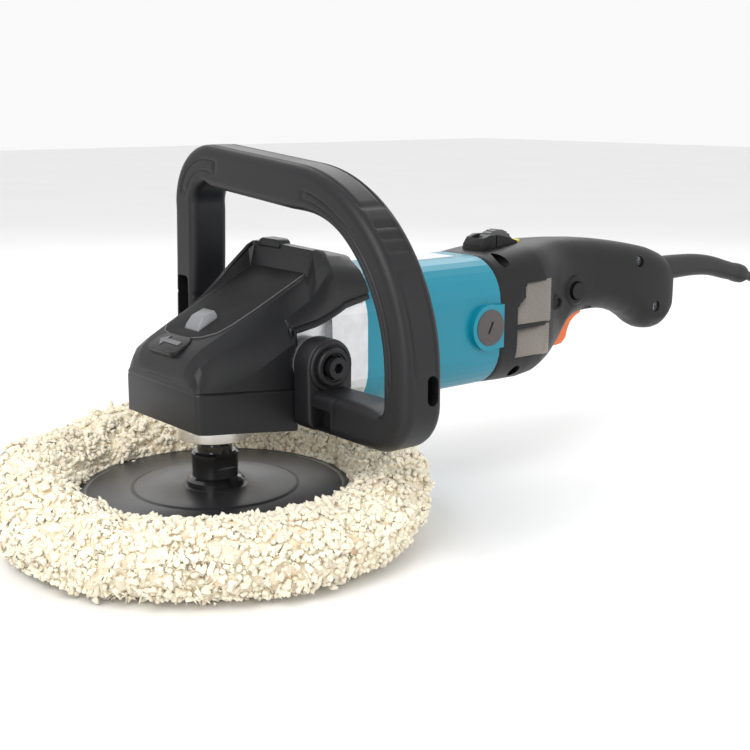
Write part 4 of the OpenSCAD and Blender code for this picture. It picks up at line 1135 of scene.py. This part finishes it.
def wire_ends(x0, x1, z0, z1, c, slope):
    """Both ends of the line z = z0 + c + slope * (x - x0) in a rectangle, or fewer if it misses it."""
    ends = [(x, z) for x, z in ((x0, z0 + c), (x1, z0 + slope * (x1 - x0) + c)) if z0 <= z <= z1]
    for z in (z0, z1):
        x = x0 + (z - z0 - c) / slope
        if x0 < x < x1:
            ends.append((x, z))
    return ends[:2]


def wires(name, x_range, z_range, y, pitch, r, mat):
    """A woven mesh of two families of diagonal wires in a rectangle, each wire with a square section."""
    (x0, x1), (z0, z1) = x_range, z_range
    out = 1 if y > 0 else -1
    span = (x1 - x0) + (z1 - z0)
    pts, faces = [], []
    for slope in (1, -1):
        yy = y + out * 0.25 * slope
        c = -(x1 - x0) - (z1 - z0)
        while c < span:
            ends = wire_ends(x0, x1, z0, z1, c, slope)
            c += pitch
            if len(ends) < 2 or math.dist(*ends) <= 0.8:
                continue
            a, b = ends
            d = Vector((b[0] - a[0], b[1] - a[1])).normalized()
            n = Vector((-d.y, d.x)) * r
            base = len(pts)
            for x, z in ends:
                pts += [(x + n.x, yy, z + n.y), (x, yy + r, z), (x - n.x, yy, z - n.y), (x, yy - r, z)]
            for k in range(4):
                j = (k + 1) % 4
                faces.append((base + k, base + j, base + 4 + j, base + 4 + k))
            faces.append((base, base + 3, base + 2, base + 1))
            faces.append((base + 4, base + 5, base + 6, base + 7))
    return add_mesh(name, pts, faces, mat, 30)


# Woven mesh over both vents of a side, with a dark plate behind
MESH_PITCH, WIRE_R = 1.7, 0.36
for side, name in SIDES:
    y = side * 41.0
    top = wires(f"vent_mesh_upper_{name}", (221, 258), (115, 145.5), y, MESH_PITCH, WIRE_R, MESH)
    low = wires(f"vent_mesh_lower_{name}", (221, 257), (91.6, 113.4), y, MESH_PITCH, WIRE_R, MESH)
    backing = round_rect(37.5, 55, 2, 3, 239.5, 118.5)
    back = prism(f"vent_back_{name}", backing, (side * 37.5, side * 39.5), CAP)
    low.parent = top
    back.parent = top
    on(top, "body", ("vent_grilles",) if side < 0 else ())

# Collar of the lock-on button: radius and distance out from the tool's middle
COLLAR_PROFILE = [
    (6.2, -17), (9.8, -17), (11.8, -19.5), (11.2, -22.4), (9.6, -23.6), (7.4, -23.6), (6.2, -22.6)]
collar = lathe("lock_collar", COLLAR_PROFILE, HANDLE, 64, (305, 0, 130), "Y")
on(collar, "body")

# Small side knob beside the vent
KNOB_PROFILE = [(0, -24), (5.8, -24), (5.8, -38.4), (5.1, -39.4), (3.4, -39.4), (3.0, -38.0), (0, -38.0)]
knob = lathe("side_knob", KNOB_PROFILE, HANDLE, 40, (271, 3, 126), "Y")
on(knob, "body")

# Pod of the speed dial on top, and the mark behind it
POD_OUTLINE = [
    (217, 160), (218.5, 169), (222, 173.6), (228, 175.6), (236, 175.4), (246, 173.2), (255, 169.8),
    (255.6, 160)]
pod = prism("dial_pod", POD_OUTLINE, (-9.5, 9.5), HANDLE)
cut(pod, [
    block("pod_slot", (222, 253.6), (-5, 5), (130, 190), HANDLE),
    block("pod_seam", (233.6, 234.6), (-12, -7.5), (165, 190), HANDLE),
])
bevel(pod, 1.0, 3, 20)
on(pod, "body")
mark = block("dial_mark", (256.2, 260.5), (-6.5, 1), (167.8, 170.4), YELLOW)
bevel(mark, 0.4, 2, 30)
on(mark, "body")
